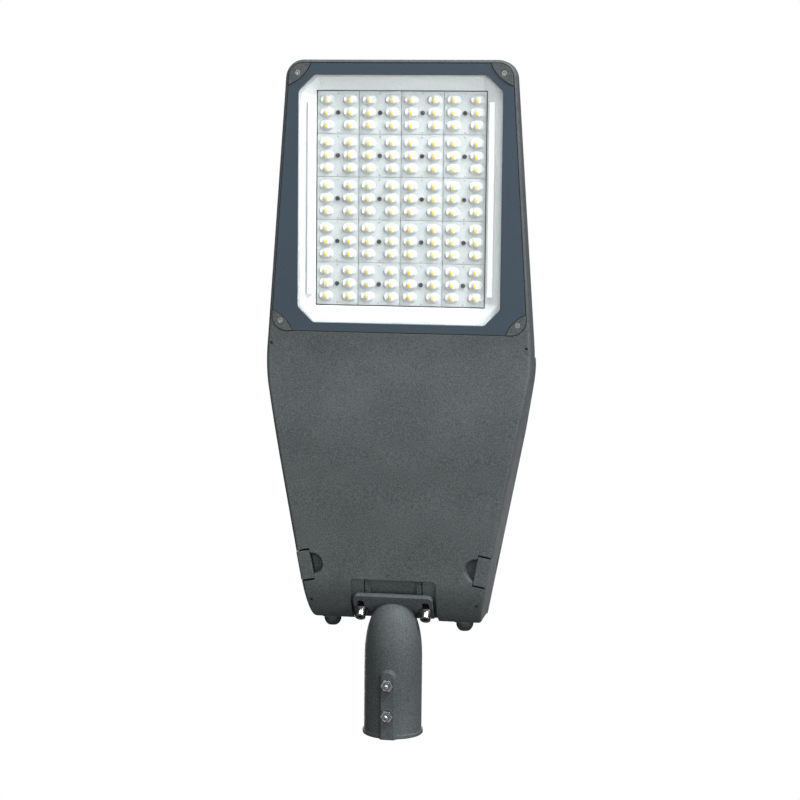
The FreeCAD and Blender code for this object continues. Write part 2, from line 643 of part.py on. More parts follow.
def small_holes():
    """Four small blind fixing holes in the underside, two at the widest line and two at the tail."""
    wide = V(side_half(WIDE_Y + 5.5) - 5.3, WIDE_Y + 5.5, RIM_Z)
    tail = V(TAIL_HALF - 2.0, TAIL_Y + 27, BELLY_Z + 7)
    holes = []
    for place in (wide, tail):
        holes += both_sides(rod(SMALL_HOLE_R, place.sub(V(0, 0, 5)), place.add(V(0, 0, SMALL_HOLE_DEPTH))))
    return holes


def tray_posts():
    """Places in plan of the four posts that the gear tray stands on."""
    x = TRAY_HALF - 8
    y0 = TAIL_Y + TRAY_START + 8
    y1 = TAIL_Y + TRAY_START + TRAY_LENGTH - 8
    return [(-x, y0), (x, y0), (-x, y1), (x, y1)]


def module_centres():
    places = []
    for row in range(MODULE_ROWS):
        for column in range(MODULE_COLUMNS):
            x = (column - (MODULE_COLUMNS - 1) / 2) * PITCH_X
            y = ARRAY_Y + (row - (MODULE_ROWS - 1) / 2) * PITCH_Y
            places.append((x, y))
    return places


def gland_axis(x, y0, y1, radius):
    return rod(radius, V(x, y0, GLAND_Z), V(x, y1, GLAND_Z))


def clamp_screw_places():
    """Centres of the four window clamp screws, nose pair then tail pair."""
    y0 = GLASS_Y0 + CLAMP_SCREW_IN
    y1 = NOSE_Y - RIM_WIDTH - CLAMP_SCREW_IN
    low = side_half(y0) - RIM_WIDTH - CLAMP_SCREW_IN + 1
    high = side_half(y1) - RIM_WIDTH - CLAMP_SCREW_IN + 1
    return {"nose_left": (-high, y1), "nose_right": (high, y1),
            "tail_left": (-low, y0), "tail_right": (low, y0)}


def main_housing():
    top = [(TAIL_Y, PARTING_Z), (RAMP_Y, PARTING_Z)] + top_line() + [(NOSE_Y + 20, RIM_Z)]
    shell = lower_block(0, top).common(rounded_plan(0, BELLY_Z - 5, 150))
    def low_edge(edge):
        middle = edge.valueAt((edge.FirstParameter + edge.LastParameter) / 2)
        on_side = abs(abs(middle.x) - side_half(middle.y)) < 2 or middle.y > NOSE_Y - NOSE_CORNER_R
        if upright(edge):
            return abs(middle.y - TAIL_Y) < 0.01
        return on_side and edge.BoundBox.ZMax < max(GLAND_Z + 3, RIM_Z + 0.1) and middle.z < NOSE_TOP_Z - 5
    shell = round_edges(shell, EDGE_R, low_edge)
    for cutter in head_hollows() + [bay_hollow()]:
        shell = shell.cut(cutter)
    shell = shell.cut(recess_cut()).cut(seat_carve())
    shell = fuse([shell] + seat_features() + fins())
    for cutter in both_sides(notch_cut()):
        shell = shell.cut(cutter)
    ears = [e for x0, x1 in hinge_spans() for e in both_sides(hinge_ear(x0, x1))]
    above_floor = lower_block(1, top)
    posts = [rod(POST_R, V(x, y, BELLY_Z), V(x, y, TRAY_Z)).common(above_floor) for x, y in tray_posts()]
    clamp_posts = [rod(POST_R, V(x, y, LEDGE_Z), V(x, y, SINK_Z + 1))
                   for x, y in clamp_screw_places().values()]
    pads = [gland_axis(s * GLAND_X, TAIL_Y, TAIL_Y + GLAND_PAD, GLAND_PAD_R) for s in (-1, 1)]
    shell = fuse([shell] + ears + posts + clamp_posts + pads + both_sides(latch_lug()))
    shell = shell.cut(tilt_holes())
    for cutter in both_sides(latch_pin_rod(LATCH_WIDTH / 2, LATCH_PIN_R)):
        shell = shell.cut(cutter)
    shell = shell.cut(rod(GROMMET_HOLE_R, radial(PLATE_LEAN, SEAT_R - 30), radial(PLATE_LEAN, SEAT_R + 5)))
    gland_back = TAIL_Y + GLAND_PAD
    for s in (-1, 1):
        hole = gland_axis(s * GLAND_X, TAIL_Y - 5, gland_back + 8, GLAND_THREAD_R + GLAND_FIT)
        spot_face = gland_axis(s * GLAND_X, gland_back, gland_back + 8, GLAND_PAD_R)
        shell = shell.cut(hole).cut(spot_face)
    for x0, x1 in hinge_spans():
        hole = rod(HINGE_PIN_R, V(x0 - 1, HINGE_Y, HINGE_Z), V(x1 + 1, HINGE_Y, HINGE_Z))
        for cutter in both_sides(hole):
            shell = shell.cut(cutter)
    lead_start, lead_end = RAMP_END_Y + 5, GLASS_Y0 + LEDGE + 10
    shell = shell.cut(rod(LEAD_HOLE_R, V(0, lead_start, LEAD_HOLE_Z), V(0, lead_end, LEAD_HOLE_Z)))
    for x, y in tray_posts():
        shell = shell.cut(rod(SCREW_R, V(x, y, TRAY_Z - 8), V(x, y, TRAY_Z + 1)))
    for x, y in clamp_screw_places().values():
        shell = shell.cut(rod(CLAMP_SCREW_R, V(x, y, LEDGE_Z - 2), V(x, y, SINK_Z)))
    for x, y in module_centres():
        shell = shell.cut(rod(SCREW_R, V(x, y, SINK_Z - 1), V(x, y, SINK_Z + 3.5)))
    for cutter in small_holes():
        shell = shell.cut(cutter)
    return shell.cut(gasket_groove())


def tilt_holes():
    holes = [rod(BOLT_R, radial(PLATE_LEAN, SEAT_R - BOLT_REACH - 1, s * BOLT_X),
                 radial(PLATE_LEAN, SEAT_R + 5, s * BOLT_X)) for s in (-1, 1)]
    return Part.makeCompound(holes)


# ---- cover, its seal and hinge ---------------------------------------------------------------

SEAL_WIDTH = 2.0
SEAL_DEPTH = 2.0
SEAL_INSET = 1.2


def seal_ring(low, high):
    """A ring that runs on top of the bay wall, between two offsets from the parting line."""
    outer = bay_plan(SEAL_INSET + SEAL_WIDTH, -20, 150)
    inner = bay_plan(SEAL_INSET, -21, 151)
    ring = outer.cut(inner)
    band = parting_points(low)[:3] + [(RAMP_END_Y + 3, parting_points(low)[2][1])]
    top = parting_points(high)[:3] + [(RAMP_END_Y + 3, parting_points(high)[2][1])]
    return ring.common(side_block(band + top[::-1], half=SPAN))


def gasket_groove():
    return seal_ring(-SEAL_DEPTH, 5)


def lid_gasket():
    return seal_ring(-SEAL_DEPTH, PARTING_GAP - 0.1)


def latch_lug():
    """Lug on the back of the slot that holds a latch's pin."""
    half = LATCH_LUG / 2 - SIDE_CLEARANCE
    x = -LATCH_THICK
    stem = box(-NOTCH_DEPTH - 1, x, -half, half, LATCH_PIN_Z - LATCH_LUG_R, LATCH_PIN_Z + LATCH_LUG_R)
    knob = Part.makeCylinder(LATCH_LUG_R, 2 * half, V(x, -half, LATCH_PIN_Z), Y_AXIS)
    return wall_frame(fuse([stem, knob]))


def latch_pin_rod(half_length, radius):
    """A rod along a latch's axis, on the right-hand side."""
    return wall_frame(rod(radius, V(-LATCH_THICK, -half_length, LATCH_PIN_Z),
                          V(-LATCH_THICK, half_length, LATCH_PIN_Z)))


def top_cover():
    slope = math.atan2(PARTING_Z - DECK_Z, RAMP_END_Y - RAMP_Y)
    low = parting_points(PARTING_GAP)[:3]
    rise = COVER_TOP_Z - PARTING_Z
    high = parting_points(rise)
    end_z = low[2][1] + rise * 0.75
    outline = low + [(RAMP_END_Y, end_z), (RAMP_END_Y - 8, high[2][1] + 8 * math.tan(slope)),
                     high[1], (TAIL_Y - 20, COVER_TOP_Z)]
    flare = WIDE_HALF + (WIDE_HALF - TAIL_HALF) * BULGE_BACK / (BULGE_Y - TAIL_Y)
    sides = [(TAIL_HALF, TAIL_Y), (flare, WIDE_Y), (-flare, WIDE_Y), (-TAIL_HALF, TAIL_Y)]
    outer = side_block(outline, half=SPAN).common(plan_prism(sides, 0, 150))
    def top_edge(edge):
        m = edge.valueAt((edge.FirstParameter + edge.LastParameter) / 2)
        outside = abs(abs(m.x) - side_half(m.y)) < 6 or abs(m.y - TAIL_Y) < 6
        roof = COVER_TOP_Z if m.y < RAMP_Y else high[2][1] + (RAMP_END_Y - m.y) * math.tan(slope)
        return outside and m.z > roof - 2 and not upright(edge)
    outer = round_edges(outer, 7.0, top_edge).common(rounded_plan(0, 0, 150))
    in_low = parting_points(-5)[:3]
    in_high = parting_points(rise - COVER_WALL)
    hollow_line = in_low + [(RAMP_END_Y, in_high[2][1] - 6),
                            (RAMP_END_Y - 10, in_high[2][1] + 10 * math.tan(slope) - 3),
                            in_high[1], (TAIL_Y - 20, COVER_TOP_Z - COVER_WALL)]
    hollow = side_block(hollow_line, half=SPAN).common(
        rounded_plan(COVER_WALL, 0, 150, TAIL_Y, NOSE_Y)).common(
        box(-SPAN, SPAN, 0, RAMP_END_Y - COVER_WALL, 0, 150))
    half = LATCH_WIDTH / 2 + LATCH_END_GAP + NOTCH_WALL
    block = wall_frame(box(-NOTCH_DEPTH - NOTCH_WALL, 30, -half, half, 0, 150))
    for cutter in both_sides(block):
        hollow = hollow.cut(cutter)
    shell = outer.cut(hollow)
    x0, x1 = HINGE_X - HINGE_KNUCKLE / 2, HINGE_X + HINGE_KNUCKLE / 2
    knuckle = rod(HINGE_R, V(x0, HINGE_Y, HINGE_Z), V(x1, HINGE_Y, HINGE_Z))
    web = side_block([(HINGE_Y, HINGE_Z - HINGE_R + 0.5), (HINGE_Y, HINGE_Z + HINGE_R),
                      (RAMP_END_Y - 4, HINGE_Z + HINGE_R), (RAMP_END_Y - 4, HINGE_Z - 2),
                      (RAMP_END_Y, HINGE_Z - 4)], x0=x0, x1=x1)
    shell = fuse([shell] + both_sides(fuse([knuckle, web])))
    bore = rod(HINGE_PIN_R + PIN_CLEARANCE, V(x0 - 1, HINGE_Y, HINGE_Z), V(x1 + 1, HINGE_Y, HINGE_Z))
    for cutter in both_sides(bore):
        shell = shell.cut(cutter)
    return shell


def hinge_pins():
    spans = hinge_spans()
    pin = rod(HINGE_PIN_R, V(spans[0][0] - 1.5, HINGE_Y, HINGE_Z), V(spans[1][1] + 1.5, HINGE_Y, HINGE_Z))
    return both_sides(pin)


def latch():
    """Right-hand latch: a side plate with two knuckles above and a hooked foot below."""
    half = LATCH_WIDTH / 2
    low = BELLY_Z
    plate_top = LATCH_PIN_Z - 9
    plate = box(-LATCH_THICK, 0, -half, half, low, plate_top)
    foot = box(-LATCH_FOOT, 0, -half, half, low, low + LATCH_FOOT_THICK)
    body = fuse([plate, foot])
    def outer_low(edge):
        m = edge.valueAt((edge.FirstParameter + edge.LastParameter) / 2)
        return abs(m.x) < 0.01 and abs(m.z - low) < 0.01
    body = round_edges(body, 2.0, outer_low)
    for s in (-1, 1):
        web = [(-LATCH_THICK, low + LATCH_FOOT_THICK), (-LATCH_FOOT + 1, low + LATCH_FOOT_THICK),
               (-LATCH_THICK, low + 2.6 * LATCH_FOOT_THICK)]
        corners = [V(x, s * (half - 4) - 1.5, z) for x, z in web]
        gusset = Part.Face(Part.makePolygon(corners + corners[:1])).extrude(V(0, 3, 0))
        y0 = LATCH_LUG / 2 if s > 0 else -half
        y1 = half if s > 0 else -LATCH_LUG / 2
        knuckle = Part.makeCylinder(LATCH_THICK, y1 - y0, V(-LATCH_THICK, y0, LATCH_PIN_Z), Y_AXIS)
        neck = box(-LATCH_THICK, 0, y0, y1, plate_top - 1, LATCH_PIN_Z)
        body = fuse([body, gusset, knuckle, neck])
    bore = rod(LATCH_PIN_R + PIN_CLEARANCE, V(-LATCH_THICK, -LATCH_WIDTH, LATCH_PIN_Z),
               V(-LATCH_THICK, LATCH_WIDTH, LATCH_PIN_Z))
    mark = box(-0.6, 1, -4.5, 4.5, 8, 9.6)
    return wall_frame(body.cut(bore).cut(mark))


def latch_pins():
    return both_sides(latch_pin_rod(LATCH_WIDTH / 2, LATCH_PIN_R))


# ---- window and light engine --------------------------------------------------------------------

def window_glass():
    pane = glass_outline(0, GLASS_Z, GLASS_TOP)
    for cutter in clamp_cuts():
        pane = pane.cut(cutter)
    return pane


def clamp_plan(name, grow, z0, z1):
    """Plan of a corner clamp: the glass's rounded corner, cut off by a wide arc."""
    nose = name.startswith("nose")
    side = -1 if name.endswith("left") else 1
    y_edge = NOSE_Y - RIM_WIDTH - GASKET_LIP if nose else GLASS_Y0
    x_edge = (side_half(y_edge) - RIM_WIDTH - GASKET_LIP) * side
    away = V(side, 1 if nose else -1, 0).normalize()
    reach = CLAMP_REACH / math.sqrt(2) - 0.5
    arc_top = V(x_edge, y_edge, 0).add(V(away).multiply(-reach))
    centre = arc_top.add(V(away).multiply(CLAMP_ARC_R))
    disc = Part.makeCylinder(CLAMP_ARC_R + grow, z1 - z0, V(centre.x, centre.y, z0), Z_AXIS)
    return disc.common(glass_outline(0 if grow == 0 else GASKET_LIP / 2, z0, z1))


def clamp_cuts():
    """Corners taken off the glass where the clamps stand."""
    return [clamp_plan(name, 0.6, GLASS_Z - 5, GLASS_TOP + 5) for name in clamp_screw_places()]


def corner_clamp(name):
    x, y = clamp_screw_places()[name]
    body = clamp_plan(name, 0, RIM_Z - 0.6, LEDGE_Z)
    body = body.cut(rod(CLAMP_SCREW_R + SCREW_CLEARANCE, V(x, y, RIM_Z - 2), V(x, y, LEDGE_Z + 1)))
    return body.cut(rod(CLAMP_HEAD_R + 2 * SCREW_CLEARANCE, V(x, y, RIM_Z - 2), V(x, y, CLAMP_SEAT_Z)))


def clamp_fixing(x, y):
    """Window clamp screw, its head sunk in the clamp."""
    low = CLAMP_SEAT_Z - CLAMP_HEAD_HEIGHT
    head = rod(CLAMP_HEAD_R, V(x, y, low), V(x, y, CLAMP_SEAT_Z))
    shank = rod(CLAMP_SCREW_R, V(x, y, CLAMP_SEAT_Z), V(x, y, SINK_Z - 1))
    return fuse([head, shank]).cut(hexagon(2.5, 1.2, V(x, y, low - 0.1)))


def glass_gasket():
    """Seal between glass and ledge, with a thin lip round the edge of the glass."""
    opening = glass_outline(-LEDGE + 1, GLASS_TOP - 1, LEDGE_Z + 1)
    base = glass_outline(GASKET_LIP, GLASS_TOP, LEDGE_Z).cut(opening)
    lip = glass_outline(GASKET_LIP, GLASS_Z + 0.8, GLASS_TOP).cut(glass_outline(0, GLASS_Z, GLASS_TOP + 1))
    ring = fuse([base, lip])
    for name in clamp_screw_places():
        ring = ring.cut(clamp_plan(name, 0.3, RIM_Z - 5, LEDGE_Z + 2))
    return ring


def chamfered(half, y0, y1, chamfer, z0, z1):
    points = [(half, y0 + chamfer), (half, y1 - chamfer), (half - chamfer, y1)]
    points += [(-half + chamfer, y1), (-half, y1 - chamfer), (-half, y0 + chamfer)]
    points += [(-half + chamfer, y0), (half - chamfer, y0)]
    return plan_prism(points, z0, z1)


def bezel_loft(drop, grow):
    """Sloping ring from the wide lower outline up to the array's edge."""
    half = ARRAY_HALF + 1.5
    length = ARRAY_REACH + 1.5
    low = LEDGE_Z + 0.4 + drop
    high = LED_Z - 1.4 + drop
    wires = []
    outlines = ((BEZEL_HALF - BEZEL_FLANGE, -BEZEL_TAIL + BEZEL_FLANGE, BEZEL_NOSE - BEZEL_FLANGE,
                 BEZEL_CHAMFER - 1, low), (half, -length, length, 6.0, high))
    for h, y0, y1, c, z in outlines:
        h, y0, y1 = h + grow, y0 - grow, y1 + grow
        pts = [(h, y0 + c), (h, y1 - c), (h - c, y1), (-h + c, y1), (-h, y1 - c), (-h, y0 + c),
               (-h + c, y0), (h - c, y0)]
        corners = [V(x, ARRAY_Y + y, z) for x, y in pts]
        wires.append(Part.makePolygon(corners + corners[:1]))
    return Part.makeLoft(wires, True, True)


def reflector_frame():
    """White frame round the lens array: a flat flange, a slope and three raised ribs."""
    low = LEDGE_Z + 0.4
    flange = chamfered(BEZEL_HALF, ARRAY_Y - BEZEL_TAIL, ARRAY_Y + BEZEL_NOSE, BEZEL_CHAMFER,
                       low, low + BEZEL_THICK)
    body = fuse([flange, bezel_loft(BEZEL_THICK, 0.6)]).cut(bezel_loft(0, 0))
    half, length = ARRAY_HALF + 1.0, ARRAY_REACH + 1.0
    body = body.cut(box(-half, half, ARRAY_Y - length, ARRAY_Y + length, low - 5, LED_Z + 8))
    x = BEZEL_HALF - BEZEL_FLANGE / 2
    pegs = [rod(BEZEL_FLANGE / 2 - 0.1, V(x, ARRAY_Y + y, low + BEZEL_THICK / 2), V(x, ARRAY_Y + y, SINK_Z))
            for y in (-BEZEL_RIB_HALF, 0, BEZEL_RIB_HALF)]
    return fuse([body] + [s for piece in [bezel_rib(low)] + pegs for s in both_sides(piece)])


def bezel_rib(low):
    """Long flat rib that stands on the frame's slope, level with its flange."""
    x0, x1 = BEZEL_RIB_X, BEZEL_RIB_X + BEZEL_RIB_WIDTH
    run = BEZEL_SIDE_BAND - BEZEL_FLANGE - 1.5
    steep = (LED_Z - 1.4 - low) / run
    outer = low + steep * (BEZEL_HALF - BEZEL_FLANGE - x1) + 0.5
    inner = outer + steep * BEZEL_RIB_WIDTH
    y = ARRAY_Y - BEZEL_RIB_HALF
    corners = [V(x0, y, low), V(x1, y, low), V(x1, y, outer), V(x0, y, inner)]
    return Part.Face(Part.makePolygon(corners + corners[:1])).extrude(V(0, 2 * BEZEL_RIB_HALF, 0))


def lens_module(x, y):
    """Clear cover plate over six chips, with an oval lens over each."""
    half, reach = (PITCH_X - MODULE_GAP) / 2, (PITCH_Y - MODULE_GAP) / 2
    low = BOARD_Z - MODULE_PLATE
    plate = box(x - half, x + half, y - reach, y + reach, low, BOARD_Z)
    plate = round_edges(plate, 1.5, upright)
    lenses = []
    for i in (-1, 1):
        for j in (-1, 0, 1):
            cx, cy = x + i * LENS_PITCH_X / 2, y + j * LENS_PITCH_Y
            run = (LENS_LENGTH - LENS_WIDTH) / 2
            z0, z1 = low - LENS_HEIGHT, low + 0.5
            oval = fuse([box(cx - run, cx + run, cy - LENS_WIDTH / 2, cy + LENS_WIDTH / 2, z0, z1),
                         rod(LENS_WIDTH / 2, V(cx - run, cy, z0), V(cx - run, cy, z1)),
                         rod(LENS_WIDTH / 2, V(cx + run, cy, z0), V(cx + run, cy, z1))])
            oval = round_edges(oval, min(LENS_HEIGHT - 1.4, LENS_WIDTH / 2 - 0.5), lambda e, z0=z0: e.BoundBox.ZMax < z0 + 0.01)
            lenses.append(oval)
    body = fuse([plate] + lenses)
    for i in (-1, 1):
        for j in (-1, 0, 1):
            cx, cy = x + i * LENS_PITCH_X / 2, y + j * LENS_PITCH_Y
            body = body.cut(box(cx - CHIP_X / 2 - 0.3, cx + CHIP_X / 2 + 0.3, cy - CHIP_Y / 2 - 0.3,
                                cy + CHIP_Y / 2 + 0.3, BOARD_Z - CHIP_POCKET, BOARD_Z + 1))
    return body.cut(rod(SCREW_R + SCREW_CLEARANCE, V(x, y, low - 1), V(x, y, BOARD_Z + 1)))


def led_board(column):
    x = (column - (MODULE_COLUMNS - 1) / 2) * PITCH_X
    half = PITCH_X / 2 - 0.2
    board = box(x - half, x + half, ARRAY_Y - ARRAY_REACH, ARRAY_Y + ARRAY_REACH, BOARD_Z, SINK_Z)
    for cx, cy in module_centres():
        if abs(cx - x) < 1:
            board = board.cut(rod(SCREW_R + SCREW_CLEARANCE, V(cx, cy, BOARD_Z - 1), V(cx, cy, SINK_Z + 1)))
    return board


def led_chips():
    chips = []
    for x, y in module_centres():
        for i in (-1, 1):
            for j in (-1, 0, 1):
                cx, cy = x + i * LENS_PITCH_X / 2, y + j * LENS_PITCH_Y
                chips.append(box(cx - CHIP_X / 2, cx + CHIP_X / 2,
                                 cy - CHIP_Y / 2, cy + CHIP_Y / 2, LED_Z, BOARD_Z))
    return chips


def pan_screw(x, y, z, head_r, shank_r, reach, up):
    """Screw whose head bears on height z; up is +1 when the shank goes up."""
    head = rod(head_r, V(x, y, z - up * 1.8), V(x, y, z))
    shank = rod(shank_r, V(x, y, z - up * 0.2), V(x, y, z + up * reach))
    slot_z = z - up * 1.8
    slot = box(x - head_r, x + head_r, y - 0.35, y + 0.35, slot_z - 0.7, slot_z + 0.7)
    cross = box(x - 0.35, x + 0.35, y - head_r * 0.7, y + head_r * 0.7, slot_z - 0.7, slot_z + 0.7)
    return fuse([head, shank]).cut(fuse([slot.common(box(x - head_r * 0.7, x + head_r * 0.7, y - 1, y + 1,
                                                         slot_z - 1, slot_z + 1)), cross]))


# ---- gear tray and electrical parts ------------------------------------------------------------

def tray_box(x0, x1, y0, y1, z0, z1, corner):
    block = box(x0, x1, y0, y1, z0, z1)
    return round_edges(block, corner, upright)


def gear_tray():
    y0 = TAIL_Y + TRAY_START
    y1 = y0 + TRAY_LENGTH
    plate = tray_box(-TRAY_HALF, TRAY_HALF, y0, y1, TRAY_Z, TRAY_Z + TRAY_THICK, 6.0)
    lips = [box(s * (TRAY_HALF - 1) - 1, s * (TRAY_HALF - 1) + 1, y0 + 16, y1 - 16,
                TRAY_Z, TRAY_Z + 10) for s in (-1, 1)]
    plate = fuse([plate] + lips)
    for x, y in tray_posts() + driver_screw_places():
        plate = plate.cut(rod(SCREW_R + SCREW_CLEARANCE, V(x, y, TRAY_Z - 1),
                              V(x, y, TRAY_Z + TRAY_THICK + 1)))
    return plate


def driver_y():
    y0 = TAIL_Y + TRAY_START + 6
    return y0, y0 + DRIVER_LENGTH


def driver_screw_places():
    y0, y1 = driver_y()
    inset = DRIVER_FOOT / 2
    return [(DRIVER_X + s * DRIVER_SCREW_X, y) for y in (y0 + inset, y1 - inset) for s in (-1, 1)]


def led_driver():
    y0, y1 = driver_y()
    z0 = TRAY_Z + TRAY_THICK
    half = DRIVER_WIDTH / 2
    case = tray_box(DRIVER_X - half, DRIVER_X + half, y0 + DRIVER_FOOT, y1 - DRIVER_FOOT,
                    z0, z0 + DRIVER_HEIGHT, 4.0)
    flange = box(DRIVER_X - half, DRIVER_X + half, y0, y1, z0, z0 + DRIVER_FLANGE)
    body = fuse([case, flange])
    for k in range(-3, 4):
        groove = box(DRIVER_X + 9 * k - 1.2, DRIVER_X + 9 * k + 1.2, y0, y1,
                     z0 + DRIVER_HEIGHT - 1.6, z0 + DRIVER_HEIGHT + 1)
        body = body.cut(groove)
    for x, y in driver_screw_places():
        body = body.cut(rod(SCREW_R + 2 * SCREW_CLEARANCE, V(x, y, z0 - 1), V(x, y, z0 + 5)))
    return body


def surge_protector():
    y1 = driver_y()[1]
    z0 = TRAY_Z + TRAY_THICK
    body = tray_box(24, 72, y1 - 72, y1 - 16, z0, z0 + 28, 3.0)
    lamp = rod(2.5, V(48, y1 - 30, z0 + 27), V(48, y1 - 30, z0 + 29.5))
    return fuse([body, lamp])


def terminal_block():
    y0 = driver_y()[0]
    z0 = TRAY_Z + TRAY_THICK
    body = box(24, 74, y0 + 10, y0 + 42, z0, z0 + 16)
    for k in range(5):
        x = 29 + 10 * k
        ridge = box(x - 5.0, x - 4.2, y0 + 9, y0 + 43, z0 + 12, z0 + 17)
        well = rod(3.0, V(x + 0.4, y0 + 26, z0 + 8), V(x + 0.4, y0 + 26, z0 + 17))
        mouth = box(x - 2.6, x + 3.4, y0 + 9, y0 + 16, z0 + 3, z0 + 9)
        body = body.cut(ridge).cut(well).cut(mouth)
    return body


def terminal_screws():
    y0 = driver_y()[0]
    z0 = TRAY_Z + TRAY_THICK
    screws = []
    for k in range(5):
        x = 29.4 + 10 * k
        head = rod(2.8, V(x, y0 + 26, z0 + 8), V(x, y0 + 26, z0 + 11))
        screws.append(head.cut(box(x - 3, x + 3, y0 + 25.6, y0 + 26.4, z0 + 10, z0 + 12)))
    return screws


def gland_body(x):
    """Threaded gland body with its flange on the tail wall and a domed nut outside."""
    bore = GLAND_BORE_R + GLAND_SEAL + GLAND_FIT
    centre, back = TAIL_Y - GLAND_SKIRT, TAIL_Y + WALL + GLAND_ENGAGE
    drop = math.sqrt(GLAND_DOME_R ** 2 - bore ** 2)
    bend = math.atan2(drop, bore) / 2
    middle = V(x + GLAND_DOME_R * math.cos(bend), centre - GLAND_DOME_R * math.sin(bend), GLAND_Z)
    run = [V(x + r, y, GLAND_Z) for r, y in ((bore, centre - drop), (bore, back), (GLAND_THREAD_R, back),
                                             (GLAND_THREAD_R, TAIL_Y), (GLAND_DOME_R, TAIL_Y),
                                             (GLAND_DOME_R, centre))]
    lines = [Part.makeLine(a, b) for a, b in zip(run, run[1:])]
    dome = Part.Arc(run[-1], middle, run[0]).toShape()
    return Part.Face(Part.Wire(lines + [dome])).revolve(V(x, 0, GLAND_Z), Y_AXIS, 360)


def gland_seal(x):
    sleeve = gland_axis(x, TAIL_Y - GLAND_SKIRT - GLAND_DOME_R / 2, TAIL_Y + 8, GLAND_BORE_R + GLAND_SEAL)
    return sleeve.cut(gland_axis(x, TAIL_Y - 30, TAIL_Y + 30, GLAND_BORE_R))


def gland_nut(x):
    nut = hexagon(GLAND_NUT_ACROSS, GLAND_NUT_HEIGHT, V(x, TAIL_Y + GLAND_PAD, GLAND_Z), Y_AXIS)
    return nut.cut(gland_axis(x, TAIL_Y, TAIL_Y + 30, GLAND_THREAD_R + GLAND_FIT))


def seat_grommet():
    """Rubber ring in the seat's cable hole."""
    inner, outer = SEAT_R - SEAT_FLOOR_DROP - SEAT_WALL, SEAT_R - SEAT_FLOOR_DROP
    sleeve = rod(GROMMET_HOLE_R - 0.05, radial(PLATE_LEAN, inner + 0.5), radial(PLATE_LEAN, outer - 1.5))
    collar = rod(GROMMET_HOLE_R + 2.5, radial(PLATE_LEAN, inner - 5.5), radial(PLATE_LEAN, inner - 3))
    neck = rod(GROMMET_HOLE_R - 0.05, radial(PLATE_LEAN, inner - 3.5), radial(PLATE_LEAN, inner + 1))
    return fuse([sleeve, neck, collar]).cut(rod(6.0, radial(PLATE_LEAN, 20), radial(PLATE_LEAN, 70)))


def lead_grommet():
    y0, y1 = RAMP_END_Y + BRIDGE_LENGTH, GLASS_Y0 + LEDGE
    sleeve = rod(LEAD_HOLE_R, V(0, y0, LEAD_HOLE_Z), V(0, y1, LEAD_HOLE_Z))
    collar = rod(LEAD_HOLE_R + 2, V(0, y0 - 2, LEAD_HOLE_Z), V(0, y0, LEAD_HOLE_Z))
    return fuse([sleeve, collar]).cut(
        rod(LEAD_R + 0.1, V(0, y0 - 5, LEAD_HOLE_Z), V(0, y1 + 5, LEAD_HOLE_Z)))


def lead_tube(points, radius, bend):
    """Lead as straight runs joined by arcs of one bend radius."""
    edges = []
    start = points[0]
    for before, corner, after in zip(points, points[1:], points[2:]):
        to_before = before.sub(corner).normalize()
        to_after = after.sub(corner).normalize()
        angle = to_before.getAngle(to_after)
        cut = bend / math.tan(angle / 2)
        first = corner.add(V(to_before).multiply(cut))
        last = corner.add(V(to_after).multiply(cut))
        centre_way = to_before.add(to_after).normalize()
        middle = corner.add(centre_way.multiply(bend / math.sin(angle / 2) - bend))
        edges += [Part.makeLine(start, first), Part.Arc(first, middle, last).toShape()]
        start = last
    edges.append(Part.makeLine(start, points[-1]))
    path = Part.Wire(edges)
    ring = Part.Wire([Part.Circle(points[0], points[1].sub(points[0]), radius).toShape()])
    return path.makePipeShell([ring], True, False)


def dc_lead():
    """Low-voltage lead from the driver, through the bridge, to the light engine."""
    y1 = driver_y()[1] - DRIVER_FOOT
    z = TRAY_Z + TRAY_THICK + DRIVER_HEIGHT / 2
    end = GLASS_Y0 + LEDGE + 3
    points = [V(DRIVER_X, y1, z), V(DRIVER_X, y1 + 14, z),
              V(0, y1 + 26, LEAD_HOLE_Z), V(0, end, LEAD_HOLE_Z)]
    return lead_tube(points, LEAD_R, 9.0)


def mains_lead():
    """Short lead from the terminal block to the driver."""
    y0 = driver_y()[0]
    z = TRAY_Z + TRAY_THICK
    x1 = 30.0
    points = [V(DRIVER_X, y0 + DRIVER_FOOT, z + 14), V(DRIVER_X, y0 - DRIVER_FOOT, z + 14),
              V(x1, y0 - DRIVER_FOOT, z + 6), V(x1, y0 + 10, z + 6)]
    return lead_tube(points, LEAD_R, 8.0)


